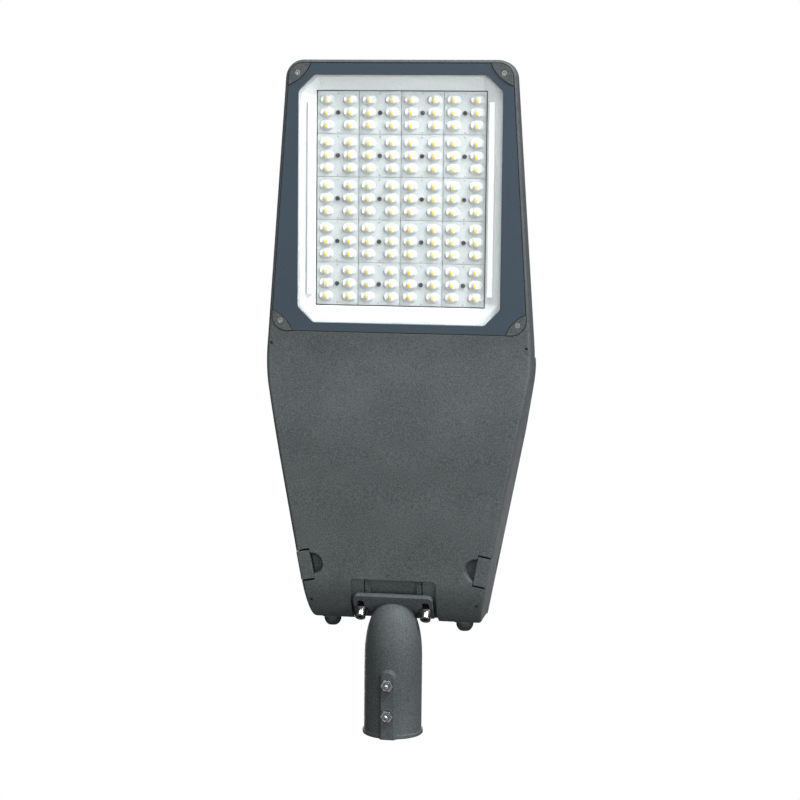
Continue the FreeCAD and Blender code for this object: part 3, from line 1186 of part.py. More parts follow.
def main():
    os.makedirs("parts", exist_ok=True)
    write("spigot_adaptor", spigot_adaptor())
    near, far = CLAMP_SCREW_Y
    write("clamp_screw_mouth", clamp_screw(near))
    write("clamp_screw_inner", clamp_screw(far))
    write("clamp_lock_nuts", [lock_nut(near), lock_nut(far)])
    write("tilt_bolts", [tilt_bolt(-BOLT_X), tilt_bolt(BOLT_X)])
    write("plain_washers", [washer(s * BOLT_X, WASHER_R, HOLD_BACK, WASHER_THICK) for s in (-1, 1)])
    write("spring_washers", [spring_washer(s * BOLT_X) for s in (-1, 1)])
    write("main_housing", main_housing())
    write("top_cover", top_cover())
    write("lid_gasket", lid_gasket())
    write("hinge_pins", hinge_pins())
    right = latch()
    write("latch_right", right)
    write("latch_left", mirror_x(right))
    write("latch_pins", latch_pins())
    write("window_glass", window_glass())
    write("glass_gasket", glass_gasket())
    for name in clamp_screw_places():
        write("corner_clamp_" + name, corner_clamp(name))
    write("corner_clamp_screws", [clamp_fixing(x, y) for x, y in clamp_screw_places().values()])
    write("reflector_frame", reflector_frame())
    for number, (x, y) in enumerate(module_centres(), 1):
        write("lens_module_%02d" % number, lens_module(x, y))
    for column in range(MODULE_COLUMNS):
        write("led_board_%d" % (column + 1), led_board(column))
    write("led_chips", led_chips())
    low = BOARD_Z - MODULE_PLATE
    write("lens_screws", [pan_screw(x, y, low, 2.7, SCREW_R, 6.0, 1) for x, y in module_centres()])
    write("gear_tray", gear_tray())
    tray_top = TRAY_Z + TRAY_THICK
    write("led_driver", led_driver())
    screws = [pan_screw(x, y, tray_top, 3.0, SCREW_R, 7.0, -1) for x, y in tray_posts()]
    screws += [pan_screw(x, y, tray_top + DRIVER_FLANGE, 3.0, SCREW_R, 4.5, -1)
               for x, y in driver_screw_places()]
    write("tray_screws", screws)
    write("surge_protector", surge_protector())
    write("terminal_block", terminal_block())
    write("terminal_screws", terminal_screws())
    write("cable_glands", [gland_body(-GLAND_X), gland_body(GLAND_X)])
    write("gland_seals", [gland_seal(-GLAND_X), gland_seal(GLAND_X)])
    write("gland_lock_nuts", [gland_nut(-GLAND_X), gland_nut(GLAND_X)])
    write("seat_grommet", seat_grommet())
    write("lead_grommet", lead_grommet())
    write("internal_leads", [dc_lead(), mains_lead()])


main()
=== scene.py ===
import json
import math

import bpy
from mathutils import Matrix, Vector


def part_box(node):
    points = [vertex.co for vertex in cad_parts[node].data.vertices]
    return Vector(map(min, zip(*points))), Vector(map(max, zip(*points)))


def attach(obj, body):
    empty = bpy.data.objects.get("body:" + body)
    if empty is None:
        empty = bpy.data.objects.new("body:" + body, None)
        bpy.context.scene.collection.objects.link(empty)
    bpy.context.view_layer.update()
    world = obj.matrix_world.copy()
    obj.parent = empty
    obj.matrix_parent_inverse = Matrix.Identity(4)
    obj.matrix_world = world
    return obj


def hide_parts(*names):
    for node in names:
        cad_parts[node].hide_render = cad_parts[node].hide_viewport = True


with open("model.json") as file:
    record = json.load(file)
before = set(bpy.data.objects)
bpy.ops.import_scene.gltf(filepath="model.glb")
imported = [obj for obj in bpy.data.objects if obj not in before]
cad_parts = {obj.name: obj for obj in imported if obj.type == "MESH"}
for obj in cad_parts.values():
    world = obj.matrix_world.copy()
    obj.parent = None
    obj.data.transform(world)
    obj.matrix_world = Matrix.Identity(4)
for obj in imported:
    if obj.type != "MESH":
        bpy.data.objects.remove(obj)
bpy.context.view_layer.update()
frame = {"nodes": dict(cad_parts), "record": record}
nodes = frame["nodes"]
slot_of = {part["node"]: part["material_slot"] for part in frame["record"]["subparts"]}

# The street-light head hangs level with its window facing down, and is seen from below.
# Metres throughout.  +Y runs from the pole socket to the nose, +Z is up.

MM = 0.001

# ---- camera, stage and lights ------------------------------------------------------------

CAMERA_PLACE = Vector((-0.4362, 0.6986, -2.5090))
CAMERA_BACK = Vector((-0.16827, 0.11399, -0.97913))
CAMERA_UP = Vector((0.02919, 0.99343, 0.11064))
CAMERA_LENS = 96.45
CAMERA_SENSOR = 36.0
FLOOR_Z = -2.9
FLOOR_SIZE = 14.0
FLOOR_TONE = (0.86, 0.86, 0.85, 1.0)
FLOOR_ROUGHNESS = 0.8
BACKDROP_TONE = (1.0, 1.0, 1.0, 1.0)
FILL_STRENGTH = 0.10

# name, place, size, power in watts
SOFT_BOXES = [
    ("key_soft_box", (-1.5, 2.6, -0.8), 0.8, 96.0),
    ("nose_soft_box", (0.3, 3.1, -0.6), 0.9, 30.0),
    ("side_soft_box", (-2.0, 0.35, -1.5), 1.4, 24.0),
    ("front_soft_box", (0.5, 1.9, -2.5), 1.0, 6.0),
    ("top_soft_box", (0.8, 0.2, 2.6), 2.0, 120.0),
]
AIM = Vector((0.0, 0.45, 0.02))


def new_object(name, data):
    made = bpy.data.objects.new(name, data)
    bpy.context.scene.collection.objects.link(made)
    return made


def make_camera():
    data = bpy.data.cameras.new("camera")
    data.lens = CAMERA_LENS
    data.sensor_width = CAMERA_SENSOR
    camera = new_object("camera", data)
    back = CAMERA_BACK.normalized()
    right = CAMERA_UP.cross(back).normalized()
    up = back.cross(right)
    turn = Matrix((right, up, back)).transposed().to_4x4()
    camera.matrix_world = Matrix.Translation(CAMERA_PLACE) @ turn
    bpy.context.scene.camera = camera


def make_floor():
    half = FLOOR_SIZE / 2
    mesh = bpy.data.meshes.new("floor")
    corners = [(x * half, y * half, FLOOR_Z) for x, y in ((-1, -1), (1, -1), (1, 1), (-1, 1))]
    mesh.from_pydata(corners, [], [(0, 1, 2, 3)])
    floor = new_object("floor", mesh)
    pale = bpy.data.materials.new("pale_floor")
    pale.use_nodes = True
    shader = pale.node_tree.nodes["Principled BSDF"]
    shader.inputs["Base Color"].default_value = FLOOR_TONE
    shader.inputs["Roughness"].default_value = FLOOR_ROUGHNESS
    mesh.materials.append(pale)


def show_true_tones():
    bpy.context.scene.view_settings.view_transform = "Standard"


def make_backdrop():
    """White behind the lamp, with a weaker fill light from all round."""
    world = bpy.data.worlds.new("backdrop")
    bpy.context.scene.world = world
    world.use_nodes = True
    tree = world.node_tree
    tree.nodes.clear()
    white = tree.nodes.new("ShaderNodeBackground")
    white.inputs["Color"].default_value = BACKDROP_TONE
    fill = tree.nodes.new("ShaderNodeBackground")
    fill.inputs["Color"].default_value = BACKDROP_TONE
    fill.inputs["Strength"].default_value = FILL_STRENGTH
    path = tree.nodes.new("ShaderNodeLightPath")
    mix = tree.nodes.new("ShaderNodeMixShader")
    out = tree.nodes.new("ShaderNodeOutputWorld")
    tree.links.new(path.outputs["Is Camera Ray"], mix.inputs["Fac"])
    tree.links.new(fill.outputs["Background"], mix.inputs[1])
    tree.links.new(white.outputs["Background"], mix.inputs[2])
    tree.links.new(mix.outputs["Shader"], out.inputs["Surface"])


def make_lights():
    for name, place, size, power in SOFT_BOXES:
        data = bpy.data.lights.new(name, "AREA")
        data.shape = "SQUARE"
        data.size = size
        data.energy = power
        light = new_object(name, data)
        light.location = place
        light.rotation_euler = (AIM - Vector(place)).to_track_quat("-Z", "Y").to_euler()


# ---- effects shared by the finishes ------------------------------------------------------

EDGE_ROUND = 0.9 * MM
EDGE_SAMPLES = 4
EDGE_TURN = (0.02, 0.22)
WEAR_SCALE = 260.0
WEAR_RANGE = (0.42, 0.62)
WEAR_LEAST = 0.25
PEBBLE_SHARE = 0.7
PIT_SHARE = 0.5
SLOW_SCALE = 14.0
SLOW_SHARE = 0.25
FINE_SCALE = 640.0
FINE_SHARE = 0.75
TONE_RANGE = (0.36, 0.64)
FLECK_RANGE = (0.6, 0.72)
DUST_RANGE = (0.45, 0.75)
DUST_MOST = 0.7
SPECK_SCALE = 1500.0
SPECK_RANGE = (0.64, 0.74)
SPECK_SHARE = 0.3


def new_group(name, inputs, outputs):
    """An empty node group: inputs are (name, kind, value) and outputs (name, kind)."""
    group = bpy.data.node_groups.new(name, "ShaderNodeTree")
    for label, kind, value in inputs:
        socket = group.interface.new_socket(name=label, in_out="INPUT", socket_type=kind)
        socket.default_value = value
    for label, kind in outputs:
        group.interface.new_socket(name=label, in_out="OUTPUT", socket_type=kind)
    return group, group.nodes.new("NodeGroupInput"), group.nodes.new("NodeGroupOutput")


def feed(tree, socket, value):
    """Sets a socket to a number, or links another socket to it."""
    if isinstance(value, (int, float)):
        socket.default_value = value
    else:
        tree.links.new(value, socket)


def math_node(tree, operation, first, second, clamp=False):
    node = tree.nodes.new("ShaderNodeMath")
    node.operation = operation
    node.use_clamp = clamp
    feed(tree, node.inputs[0], first)
    feed(tree, node.inputs[1], second)
    return node.outputs[0]


def spread(tree, value, span, new_low=0.0, new_high=1.0):
    """Maps a value from one range to another, clamped."""
    node = tree.nodes.new("ShaderNodeMapRange")
    tree.links.new(value, node.inputs["Value"])
    node.inputs["From Min"].default_value = span[0]
    node.inputs["From Max"].default_value = span[1]
    node.inputs["To Min"].default_value = new_low
    node.inputs["To Max"].default_value = new_high
    return node.outputs["Result"]


def noise(tree, place, scale, detail=2.0, roughness=0.5):
    node = tree.nodes.new("ShaderNodeTexNoise")
    tree.links.new(place, node.inputs["Vector"])
    feed(tree, node.inputs["Scale"], scale)
    node.inputs["Detail"].default_value = detail
    node.inputs["Roughness"].default_value = roughness
    return node.outputs["Fac"]


def object_place(tree):
    return tree.nodes.new("ShaderNodeTexCoord").outputs["Object"]


def build_edge_wear():
    """A mask for worn edges, and a normal with softly rounded edges."""
    outputs = [("Edge", "NodeSocketFloat"), ("Round", "NodeSocketVector")]
    group, _, out = new_group("edge_wear", [], outputs)
    bevel = group.nodes.new("ShaderNodeBevel")
    bevel.samples = EDGE_SAMPLES
    bevel.inputs["Radius"].default_value = EDGE_ROUND
    flat = group.nodes.new("ShaderNodeNewGeometry")
    dot = group.nodes.new("ShaderNodeVectorMath")
    dot.operation = "DOT_PRODUCT"
    group.links.new(bevel.outputs["Normal"], dot.inputs[0])
    group.links.new(flat.outputs["Normal"], dot.inputs[1])
    away = math_node(group, "SUBTRACT", 1.0, dot.outputs["Value"], clamp=True)
    broad = noise(group, object_place(group), WEAR_SCALE, 3.0)
    patches = spread(group, broad, WEAR_RANGE, WEAR_LEAST)
    edge = math_node(group, "MULTIPLY", spread(group, away, EDGE_TURN), patches)
    group.links.new(edge, out.inputs["Edge"])
    group.links.new(bevel.outputs["Normal"], out.inputs["Round"])
    return group


def build_powder_texture():
    """Fine pebbled skin of a textured powder coat, with slow changes of tone."""
    group, given, out = new_group(
        "powder_texture",
        [("Pebbles", "NodeSocketFloat", 900.0)],
        [("Height", "NodeSocketFloat"), ("Tone", "NodeSocketFloat"), ("Fleck", "NodeSocketFloat")])
    place = object_place(group)
    pebbles = noise(group, place, given.outputs["Pebbles"], 3.0, 0.6)
    cells = group.nodes.new("ShaderNodeTexVoronoi")
    group.links.new(place, cells.inputs["Vector"])
    group.links.new(given.outputs["Pebbles"], cells.inputs["Scale"])
    lumps = math_node(group, "MULTIPLY", pebbles, PEBBLE_SHARE)
    pits = math_node(group, "MULTIPLY", cells.outputs["Distance"], PIT_SHARE)
    height = math_node(group, "ADD", lumps, pits)
    slow = noise(group, place, SLOW_SCALE, 3.0)
    fine = noise(group, place, FINE_SCALE, 2.0)
    slow_part = math_node(group, "MULTIPLY", slow, SLOW_SHARE)
    fine_part = math_node(group, "MULTIPLY", fine, FINE_SHARE)
    tone = math_node(group, "ADD", slow_part, fine_part)
    group.links.new(height, out.inputs["Height"])
    group.links.new(spread(group, tone, TONE_RANGE), out.inputs["Tone"])
    group.links.new(spread(group, fine, FLECK_RANGE), out.inputs["Fleck"])
    return group


def build_dust():
    """Thin dust and handling marks, in soft patches."""
    group, given, out = new_group(
        "dust_film",
        [("Size", "NodeSocketFloat", 40.0)],
        [("Dust", "NodeSocketFloat")])
    place = object_place(group)
    broad = noise(group, place, given.outputs["Size"], 5.0, 0.62)
    patches = spread(group, broad, DUST_RANGE, 0.0, DUST_MOST)
    specks = spread(group, noise(group, place, SPECK_SCALE, 1.0), SPECK_RANGE)
    speck_part = math_node(group, "MULTIPLY", specks, SPECK_SHARE)
    film = math_node(group, "ADD", patches, speck_part, clamp=True)
    group.links.new(film, out.inputs["Dust"])
    return group


def build_brushed():
    """Fine drawn lines of rolled or turned metal, along a chosen axis."""
    group, given, out = new_group(
        "drawn_lines",
        [("Stretch", "NodeSocketVector", (1500.0, 60.0, 1500.0))],
        [("Lines", "NodeSocketFloat")])
    scale = group.nodes.new("ShaderNodeVectorMath")
    scale.operation = "MULTIPLY"
    group.links.new(object_place(group), scale.inputs[0])
    group.links.new(given.outputs["Stretch"], scale.inputs[1])
    group.links.new(noise(group, scale.outputs["Vector"], 1.0, 2.0), out.inputs["Lines"])
    return group


edge_wear = build_edge_wear()
powder_texture = build_powder_texture()
dust_film = build_dust()
drawn_lines = build_brushed()


# ---- finishes ----------------------------------------------------------------------------

COAT_PEBBLES = 900.0
COAT_DEPTH = 0.12 * MM
COAT_RELIEF = 0.8
COAT_FLECKS = 0.06
COAT_RUBBED = 0.55
COAT_CLEAN = 0.61
COAT_DUSTY = 0.76
COAT_SPECULAR = 0.3
METAL_DUST_SIZE = 90.0
METAL_DULLING = 0.22
METAL_RELIEF = 0.5
LINE_DEPTH = 0.04 * MM
MOULDED_DUST_SIZE = 60.0
MOULDED_DULLING = 0.12
MOULDED_RELIEF = 0.4
CLEAR_DUST_SIZE = 18.0
CLEAR_DUST_TINT = 0.97
WAVE_SCALE = 30.0
WAVE_RELIEF = 0.2


def new_finish(name):
    material = bpy.data.materials.new(name)
    material.use_nodes = True
    tree = material.node_tree
    return material, tree, tree.nodes["Principled BSDF"]


def placed(tree, group, **values):
    node = tree.nodes.new("ShaderNodeGroup")
    node.node_tree = group
    for label, value in values.items():
        node.inputs[label].default_value = value
    return node


def blend_colour(tree, mask, first, second):
    """Mixes two colours by a mask; each is a colour or a socket."""
    node = tree.nodes.new("ShaderNodeMix")
    node.data_type = "RGBA"
    tree.links.new(mask, node.inputs[0])
    for index, value in ((6, first), (7, second)):
        if isinstance(value, tuple):
            node.inputs[index].default_value = value + (1.0,)
        else:
            tree.links.new(value, node.inputs[index])
    return node.outputs[2]


def bump(tree, height, strength, distance, normal=None):
    node = tree.nodes.new("ShaderNodeBump")
    node.inputs["Strength"].default_value = strength
    node.inputs["Distance"].default_value = distance
    tree.links.new(height, node.inputs["Height"])
    if normal is not None:
        tree.links.new(normal, node.inputs["Normal"])
    return node.outputs["Normal"]


def set_roughness(tree, shader, dust, clean, dusty):
    tree.links.new(spread(tree, dust, (0.0, 1.0), clean, dusty), shader.inputs["Roughness"])


def powder_coat(name, dark, light, worn):
    """Textured powder coat on a casting, a little paler where edges are rubbed."""
    material, tree, shader = new_finish(name)
    skin = placed(tree, powder_texture, Pebbles=COAT_PEBBLES)
    wear = placed(tree, edge_wear)
    film = placed(tree, dust_film)
    fleck = math_node(tree, "MULTIPLY", skin.outputs["Fleck"], COAT_FLECKS)
    rubbed = math_node(tree, "MULTIPLY", wear.outputs["Edge"], COAT_RUBBED)
    colour = blend_colour(tree, skin.outputs["Tone"], dark, light)
    colour = blend_colour(tree, fleck, colour, worn)
    colour = blend_colour(tree, rubbed, colour, worn)
    relief = bump(tree, skin.outputs["Height"], COAT_RELIEF, COAT_DEPTH, wear.outputs["Round"])
    tree.links.new(colour, shader.inputs["Base Color"])
    set_roughness(tree, shader, film.outputs["Dust"], COAT_CLEAN, COAT_DUSTY)
    tree.links.new(relief, shader.inputs["Normal"])
    shader.inputs["Specular IOR Level"].default_value = COAT_SPECULAR
    return material


def metal(name, dark, light, rough, stretch):
    """Bare or plated steel with fine drawn lines."""
    material, tree, shader = new_finish(name)
    drawn = placed(tree, drawn_lines, Stretch=stretch)
    wear = placed(tree, edge_wear)
    film = placed(tree, dust_film, Size=METAL_DUST_SIZE)
    colour = blend_colour(tree, drawn.outputs["Lines"], dark, light)
    relief = bump(tree, drawn.outputs["Lines"], METAL_RELIEF, LINE_DEPTH, wear.outputs["Round"])
    tree.links.new(colour, shader.inputs["Base Color"])
    set_roughness(tree, shader, film.outputs["Dust"], rough, rough + METAL_DULLING)
    tree.links.new(relief, shader.inputs["Normal"])
    shader.inputs["Metallic"].default_value = 1.0
    return material


def moulded(name, dark, light, rough, grain=700.0, depth=0.03 * MM, coat=0.0):
    """Moulded plastic or rubber with a fine spark-eroded grain."""
    material, tree, shader = new_finish(name)
    skin = placed(tree, powder_texture, Pebbles=grain)
    wear = placed(tree, edge_wear)
    film = placed(tree, dust_film, Size=MOULDED_DUST_SIZE)
    colour = blend_colour(tree, skin.outputs["Tone"], dark, light)
    relief = bump(tree, skin.outputs["Height"], MOULDED_RELIEF, depth, wear.outputs["Round"])
    tree.links.new(colour, shader.inputs["Base Color"])
    set_roughness(tree, shader, film.outputs["Dust"], rough, rough + MOULDED_DULLING)
    tree.links.new(relief, shader.inputs["Normal"])
    shader.inputs["Coat Weight"].default_value = coat
    return material


def clear_finish(name, tint, rough_low, rough_high, refraction, ripple):
    """Clear glass or plastic that lets daylight through to what is behind it."""
    material, tree, shader = new_finish(name)
    film = placed(tree, dust_film, Size=CLEAR_DUST_SIZE)
    dusty_tint = tuple(CLEAR_DUST_TINT * channel for channel in tint)
    colour = blend_colour(tree, film.outputs["Dust"], tint, dusty_tint)
    tree.links.new(colour, shader.inputs["Base Color"])
    set_roughness(tree, shader, film.outputs["Dust"], rough_low, rough_high)
    waves = noise(tree, object_place(tree), WAVE_SCALE, 1.0)
    tree.links.new(bump(tree, waves, WAVE_RELIEF, ripple), shader.inputs["Normal"])
    shader.inputs["Transmission Weight"].default_value = 1.0
    shader.inputs["IOR"].default_value = refraction
    see_through = tree.nodes.new("ShaderNodeBsdfTransparent")
    see_through.inputs["Color"].default_value = tint + (1.0,)
    path = tree.nodes.new("ShaderNodeLightPath")
    mix = tree.nodes.new("ShaderNodeMixShader")
    out = tree.nodes["Material Output"]
    tree.links.new(path.outputs["Is Shadow Ray"], mix.inputs["Fac"])
    tree.links.new(shader.outputs["BSDF"], mix.inputs[1])
    tree.links.new(see_through.outputs["BSDF"], mix.inputs[2])
    tree.links.new(mix.outputs["Shader"], out.inputs["Surface"])
    return material


FINISHES = {
    "grey_casting": powder_coat(
        "grey_powder_coat", (0.046, 0.055, 0.057), (0.098, 0.112, 0.114), (0.17, 0.185, 0.19)),
    "steel": metal(
        "bright_stainless", (0.25, 0.25, 0.245), (0.46, 0.46, 0.45), 0.24, (900.0, 900.0, 120.0)),
    "dark_steel": metal(
        "dark_screw_steel", (0.06, 0.06, 0.06), (0.16, 0.16, 0.16), 0.35, (900.0, 900.0, 200.0)),
    "galvanised_sheet": metal(
        "galvanised_sheet", (0.42, 0.44, 0.45), (0.62, 0.64, 0.65), 0.38, (160.0, 90.0, 300.0)),
    "driver_case": metal(
        "anodised_case", (0.20, 0.21, 0.22), (0.34, 0.35, 0.37), 0.42, (1200.0, 50.0, 1200.0)),
    "black_rubber": moulded(
        "black_silicone", (0.008, 0.008, 0.009), (0.022, 0.022, 0.024), 0.55),
    "lead_sheath": moulded(
        "lead_sheath", (0.012, 0.012, 0.013), (0.03, 0.03, 0.032), 0.45),
    "black_plastic": moulded(
        "black_nylon", (0.024, 0.026, 0.028), (0.048, 0.051, 0.054), 0.36, 500.0),
    "white_plastic": moulded(
        "white_reflector_satin", (0.62, 0.645, 0.655), (0.70, 0.72, 0.73), 0.30, 500.0,
        0.02 * MM, 0.25),
    "white_board": moulded(
        "white_board_mask", (0.46, 0.48, 0.49), (0.54, 0.56, 0.57), 0.36, 900.0, 0.01 * MM, 0.2),
    "blue_plastic": moulded(
        "blue_case_plastic", (0.02, 0.05, 0.14), (0.04, 0.08, 0.2), 0.35),
    "light_plastic": moulded(
        "pale_terminal_plastic", (0.55, 0.55, 0.5), (0.68, 0.68, 0.63), 0.4),
    "led_phosphor": moulded(
        "yellow_phosphor", (0.86, 0.58, 0.08), (0.95, 0.68, 0.14), 0.12, 2500.0, 0.02 * MM, 0.6),
    "lens_plastic": clear_finish(
        "clear_lens_plastic", (0.985, 0.99, 0.99), 0.03, 0.09, 1.49, 0.01 * MM),
    "window_glass": clear_finish(
        "clear_window_glass", (0.97, 0.985, 0.98), 0.0, 0.02, 1.30, 0.01 * MM),
}

# finishes of the pieces that this script makes
printed_border = moulded(
    "slate_border_glass", (0.020, 0.040, 0.060), (0.028, 0.050, 0.073), 0.14, 300.0, 0.004 * MM, 0.35)
pearl_lens = moulded(
    "pearl_lens_plastic", (0.44, 0.47, 0.485), (0.50, 0.53, 0.545), 0.12, 300.0, 0.004 * MM, 0.8)
# painted highlight: near-white patches beside each chip stand in for the glints of light on the clear
# lenses
painted_lens_glint = moulded(
    "painted_lens_glint", (0.86, 0.88, 0.88), (0.93, 0.94, 0.94), 0.10, 300.0, 0.004 * MM, 0.6)
# painted shade: the gate stubs are coloured dark grey to stand in for the shade in the small dimples
# on each lens plate
gate_mark = moulded(
    "gate_mark_painted_shade", (0.16, 0.17, 0.18), (0.24, 0.25, 0.26), 0.4)


def dress(piece, material):
    piece.data.materials.clear()
    piece.data.materials.append(material)


def dress_nodes():
    for name, node in nodes.items():
        for index in range(max(len(node.material_slots), 1)):
            if not node.material_slots:
                node.data.materials.append(None)
            node.material_slots[index].material = FINISHES[slot_of[name]]


# ---- the window: a clear middle in a printed border ----------------------------------------

WINDOW_HALF = 122.5 * MM
WINDOW_TAIL = 496.7 * MM
WINDOW_NOSE = 791.2 * MM
WINDOW_CHAMFER = 19.0 * MM
WINDOW_SOFT = 7.0 * MM
WINDOW_GAP = 0.02 * MM
CUTTER_SPARE = 4.0 * MM
CORNER_STEPS = 8


def softened(points, radius):
    """A closed outline whose corners are rounded to the radius."""
    result = []
    count = len(points)
    for index, corner in enumerate(points):
        before = (points[index - 1] - corner).normalized()
        after = (points[(index + 1) % count] - corner).normalized()
        half_angle = before.angle(after) / 2
        reach = radius / math.tan(half_angle)
        centre = corner + (before + after).normalized() * (radius / math.sin(half_angle))
        first = corner + before * reach - centre
        last = corner + after * reach - centre
        sweep = first.angle_signed(last)
        for step in range(CORNER_STEPS + 1):
            arm = first.copy()
            arm.rotate(Matrix.Rotation(-sweep * step / CORNER_STEPS, 2))
            result.append(centre + arm)
    return result


def straight_sided(outline, low, high):
    """Points and faces of a closed straight-sided solid on an outline."""
    count = len(outline)
    points = [(p.x, p.y, level) for level in (low, high) for p in outline]
    faces = [tuple(range(count))[::-1], tuple(range(count, 2 * count))]
    for here in range(count):
        after = (here + 1) % count
        faces.append((here, after, after + count, here + count))
    return points, faces


def window_outline(grow):
    half = WINDOW_HALF + grow
    tail = WINDOW_TAIL - grow
    nose = WINDOW_NOSE + grow
    cut = WINDOW_CHAMFER
    corners = [(half, tail + cut), (half, nose - cut), (half - cut, nose), (cut - half, nose),
               (-half, nose - cut), (-half, tail + cut), (cut - half, tail), (half - cut, tail)]
    return softened([Vector(corner) for corner in corners], WINDOW_SOFT)


def apply_modifiers(piece):
    depsgraph = bpy.context.evaluated_depsgraph_get()
    mesh = bpy.data.meshes.new_from_object(piece.evaluated_get(depsgraph))
    piece.modifiers.clear()
    piece.data = mesh


def cut_glass(name, operation, outline, material):
    """The part of the glass inside an outline, or outside it."""
    low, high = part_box("window_glass")
    cutter_mesh = bpy.data.meshes.new("cutter")
    points, faces = straight_sided(outline, low.z - CUTTER_SPARE, high.z + CUTTER_SPARE)
    cutter_mesh.from_pydata(points, [], faces)
    cutter = new_object("cutter", cutter_mesh)
    piece = new_object(name, nodes["window_glass"].data.copy())
    boolean = piece.modifiers.new("cut", "BOOLEAN")
    boolean.operation = operation
    boolean.solver = "EXACT"
    boolean.object = cutter
    apply_modifiers(piece)
    bpy.data.objects.remove(cutter)
    for polygon in piece.data.polygons:
        polygon.use_smooth = False
    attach(piece, "housing")
    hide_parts("window_glass")
    dress(piece, material)


def make_window():
    cut_glass("window_pane", "INTERSECT", window_outline(-WINDOW_GAP), FINISHES["window_glass"])
    cut_glass("window_border", "DIFFERENCE", window_outline(0), printed_border)


# ---- lens plates -------------------------------------------------------------------------

PLATE_THICK = 1.6 * MM
PLATE_ROUND = 1.5 * MM
PAD_PITCH_X = 28.2 * MM
PAD_PITCH_Y = 15.2 * MM
PAD_HALF_X = 8.8 * MM
PAD_HALF_Y = 6.6 * MM
PAD_SQUARENESS = 2.4
PAD_MELT = 4.0
PAD_RINGS = 9
PAD_SPOKES = 28
GATE_MARK_Y = 22.7 * MM
GATE_MARK_R = 0.7 * MM
GATE_MARK_RISE = 0.5 * MM
GATE_MARK_STEPS = 10
PAD_VIEW_RISE = 0.12 * MM
PAD_VIEW_DEPTH = 0.5 * MM

# patches on a lens pad, first the chip as it shows through the lens, then two painted highlights: x
# and y reach, columns and rows, whether it is the chip
PAD_VIEWS = [
    (-1.6 * MM, 1.6 * MM, -3.9 * MM, 1.7 * MM, 4, 6, True),
    (-4.0 * MM, -2.0 * MM, -3.4 * MM, 3.4 * MM, 3, 6, False),
    (4.9 * MM, 6.5 * MM, -1.6 * MM, 2.2 * MM, 2, 4, False),
]

# centre x, centre y, half length in x, half length in y, height
PAD_SWELLS = [
    (0.0, 0.0, 8.8 * MM, 6.4 * MM, 1.8 * MM),
    (-1.3 * MM, 0.0, 5.2 * MM, 5.4 * MM, 4.0 * MM),
    (5.6 * MM, 0.0, 2.6 * MM, 4.4 * MM, 3.2 * MM),
]


def swell(x, y, centre_x, centre_y, half_x, half_y, height):
    across = abs((x - centre_x) / half_x) ** PAD_SQUARENESS
    along = abs((y - centre_y) / half_y) ** PAD_SQUARENESS
    return height * math.sqrt(max(0.0, 1.0 - (across + along)))


def pad_height(x, y):
    """How far a pad stands off its plate: a low oval and two domes, melted together."""
    total = sum(swell(x, y, *shape) ** PAD_MELT for shape in PAD_SWELLS)
    return total ** (1.0 / PAD_MELT)


def add_pad(points, faces, centre_x, centre_y, level):
    """One lens pad as a closed cap, hanging from the plate's lower face."""
    first = len(points)
    points.append((centre_x, centre_y, level - pad_height(0.0, 0.0)))
    for ring in range(1, PAD_RINGS + 1):
        share = math.sin(math.pi / 2 * ring / PAD_RINGS)
        for spoke in range(PAD_SPOKES):
            angle = 2 * math.pi * spoke / PAD_SPOKES
            x = share * PAD_HALF_X * math.cos(angle)
            y = share * PAD_HALF_Y * math.sin(angle)
            points.append((centre_x + x, centre_y + y, level - pad_height(x, y)))
    for spoke in range(PAD_SPOKES):
        angle = 2 * math.pi * spoke / PAD_SPOKES
        x = PAD_HALF_X * math.cos(angle)
        y = PAD_HALF_Y * math.sin(angle)
        points.append((centre_x + x, centre_y + y, level + PLATE_THICK / 2))
    for spoke in range(PAD_SPOKES):
        after = (spoke + 1) % PAD_SPOKES
        faces.append((first, first + 1 + after, first + 1 + spoke))
        for ring in range(PAD_RINGS):
            near = first + 1 + ring * PAD_SPOKES
            far = near + PAD_SPOKES
            faces.append((near + spoke, near + after, far + after, far + spoke))
    last = first + 1 + PAD_RINGS * PAD_SPOKES
    faces.append(tuple(last + spoke for spoke in range(PAD_SPOKES)))


def add_gate_mark(points, faces, centre_x, centre_y, low, high):
    """The stub left by moulding, a short closed cylinder along Z."""
    first = len(points)
    steps = GATE_MARK_STEPS
    for level in (low, high):
        for step in range(steps):
            angle = 2 * math.pi * step / steps
            x = GATE_MARK_R * math.cos(angle)
            y = GATE_MARK_R * math.sin(angle)
            points.append((centre_x + x, centre_y + y, level))
    faces.append(tuple(first + step for step in range(steps))[::-1])
    faces.append(tuple(first + steps + step for step in range(steps)))
    for step in range(steps):
        after = (step + 1) % steps
        faces.append((first + step, first + after, first + steps + after, first + steps + step))


def pad_centres(centre):
    return [(centre.x + column * PAD_PITCH_X / 2, centre.y + row * PAD_PITCH_Y)
            for column in (-1, 1) for row in (-1, 0, 1)]


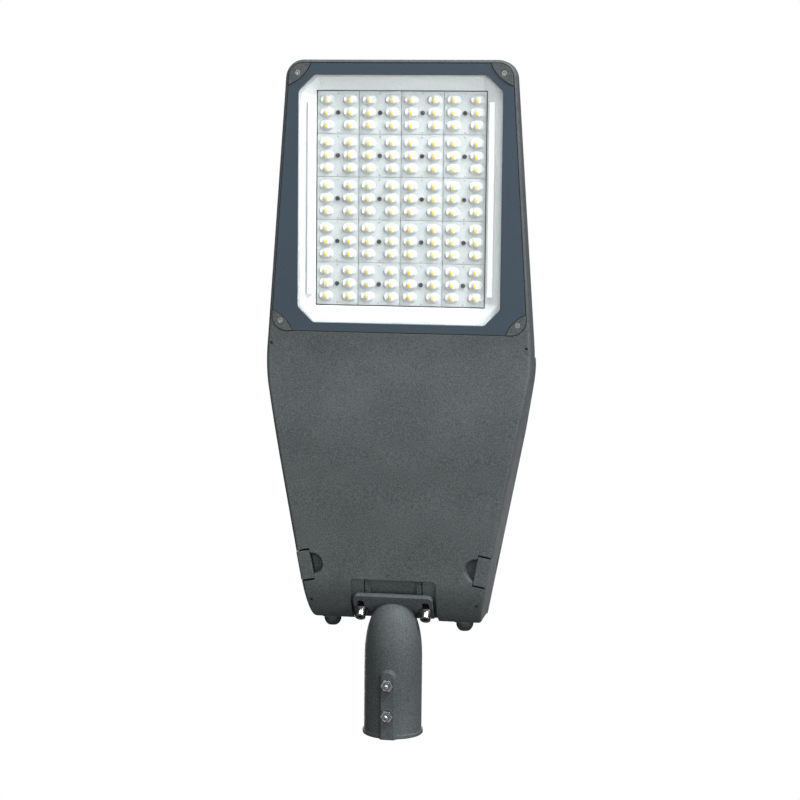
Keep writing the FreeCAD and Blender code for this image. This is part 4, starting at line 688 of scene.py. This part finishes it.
def make_lens_plate(node):
    low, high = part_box(node)
    centre = (low + high) / 2
    level = high.z - PLATE_THICK
    half_x = (high.x - low.x) / 2
    half_y = (high.y - low.y) / 2
    signs = ((1, -1), (1, 1), (-1, 1), (-1, -1))
    corners = [Vector((centre.x + sx * half_x, centre.y + sy * half_y)) for sx, sy in signs]
    points, faces = straight_sided(softened(corners, PLATE_ROUND), level, high.z)
    pads_start = len(faces)
    for x, y in pad_centres(centre):
        add_pad(points, faces, x, y, level)
    marks_start = len(faces)
    for side in (-1, 1):
        mark_y = centre.y + side * GATE_MARK_Y
        add_gate_mark(points, faces, centre.x, mark_y, level - GATE_MARK_RISE, level + PLATE_THICK / 2)
    mesh = bpy.data.meshes.new(node + "_plate")
    mesh.from_pydata(points, [], faces)
    mesh.materials.append(pearl_lens)
    # the second finish is the painted shade of the gate stubs
    mesh.materials.append(gate_mark)
    for polygon in mesh.polygons:
        on_pad = pads_start <= polygon.index < marks_start
        polygon.use_smooth = on_pad and len(polygon.vertices) <= 4
        polygon.material_index = 1 if polygon.index >= marks_start else 0
    mesh.validate()
    piece = new_object(node + "_plate", mesh)
    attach(piece, "housing")
    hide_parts(node)


def add_pad_view(points, faces, centre_x, centre_y, level, view):
    """A thin closed patch that lies on the crown of a lens pad."""
    x0, x1, y0, y1, columns, rows, _ = view
    stride = columns + 1
    first = len(points)
    for offset in (PAD_VIEW_RISE, -PAD_VIEW_DEPTH):
        for row in range(rows + 1):
            for column in range(stride):
                x = x0 + (x1 - x0) * column / columns
                y = y0 + (y1 - y0) * row / rows
                points.append((centre_x + x, centre_y + y, level - pad_height(x, y) - offset))
    layer = stride * (rows + 1)
    for row in range(rows):
        for column in range(columns):
            corner = first + row * stride + column
            ring = (corner, corner + 1, corner + 1 + stride, corner + stride)
            faces.append(ring[::-1])
            faces.append(tuple(index + layer for index in ring))
    rim = [first + column for column in range(columns)]
    rim += [first + row * stride + columns for row in range(rows)]
    rim += [first + rows * stride + column for column in range(columns, 0, -1)]
    rim += [first + row * stride for row in range(rows, 0, -1)]
    for index, corner in enumerate(rim):
        after = rim[(index + 1) % len(rim)]
        faces.append((corner, after, after + layer, corner + layer))


def make_pad_views(lens_nodes):
    """Each chip as it shows through its lens, yellow, with painted highlights beside it."""
    points, faces, yellow = [], [], []
    for node in lens_nodes:
        low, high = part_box(node)
        level = high.z - PLATE_THICK
        for centre_x, centre_y in pad_centres((low + high) / 2):
            for view in PAD_VIEWS:
                add_pad_view(points, faces, centre_x, centre_y, level, view)
                yellow += [view[-1]] * (len(faces) - len(yellow))
    mesh = bpy.data.meshes.new("chip_views_and_painted_glints")
    mesh.from_pydata(points, [], faces)
    mesh.materials.append(FINISHES["led_phosphor"])
    # the second finish is the painted highlight beside each chip
    mesh.materials.append(painted_lens_glint)
    for polygon, is_chip in zip(mesh.polygons, yellow):
        polygon.material_index = 0 if is_chip else 1
    piece = new_object("chip_views_and_painted_glints", mesh)
    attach(piece, "housing")
    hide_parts("led_chips")


def make_light_engine():
    lens_nodes = sorted(name for name in nodes if name.startswith("lens_module"))
    for node in lens_nodes:
        make_lens_plate(node)
    make_pad_views(lens_nodes)


make_camera()
show_true_tones()
make_floor()
make_backdrop()
make_lights()
dress_nodes()
make_window()
make_light_engine()
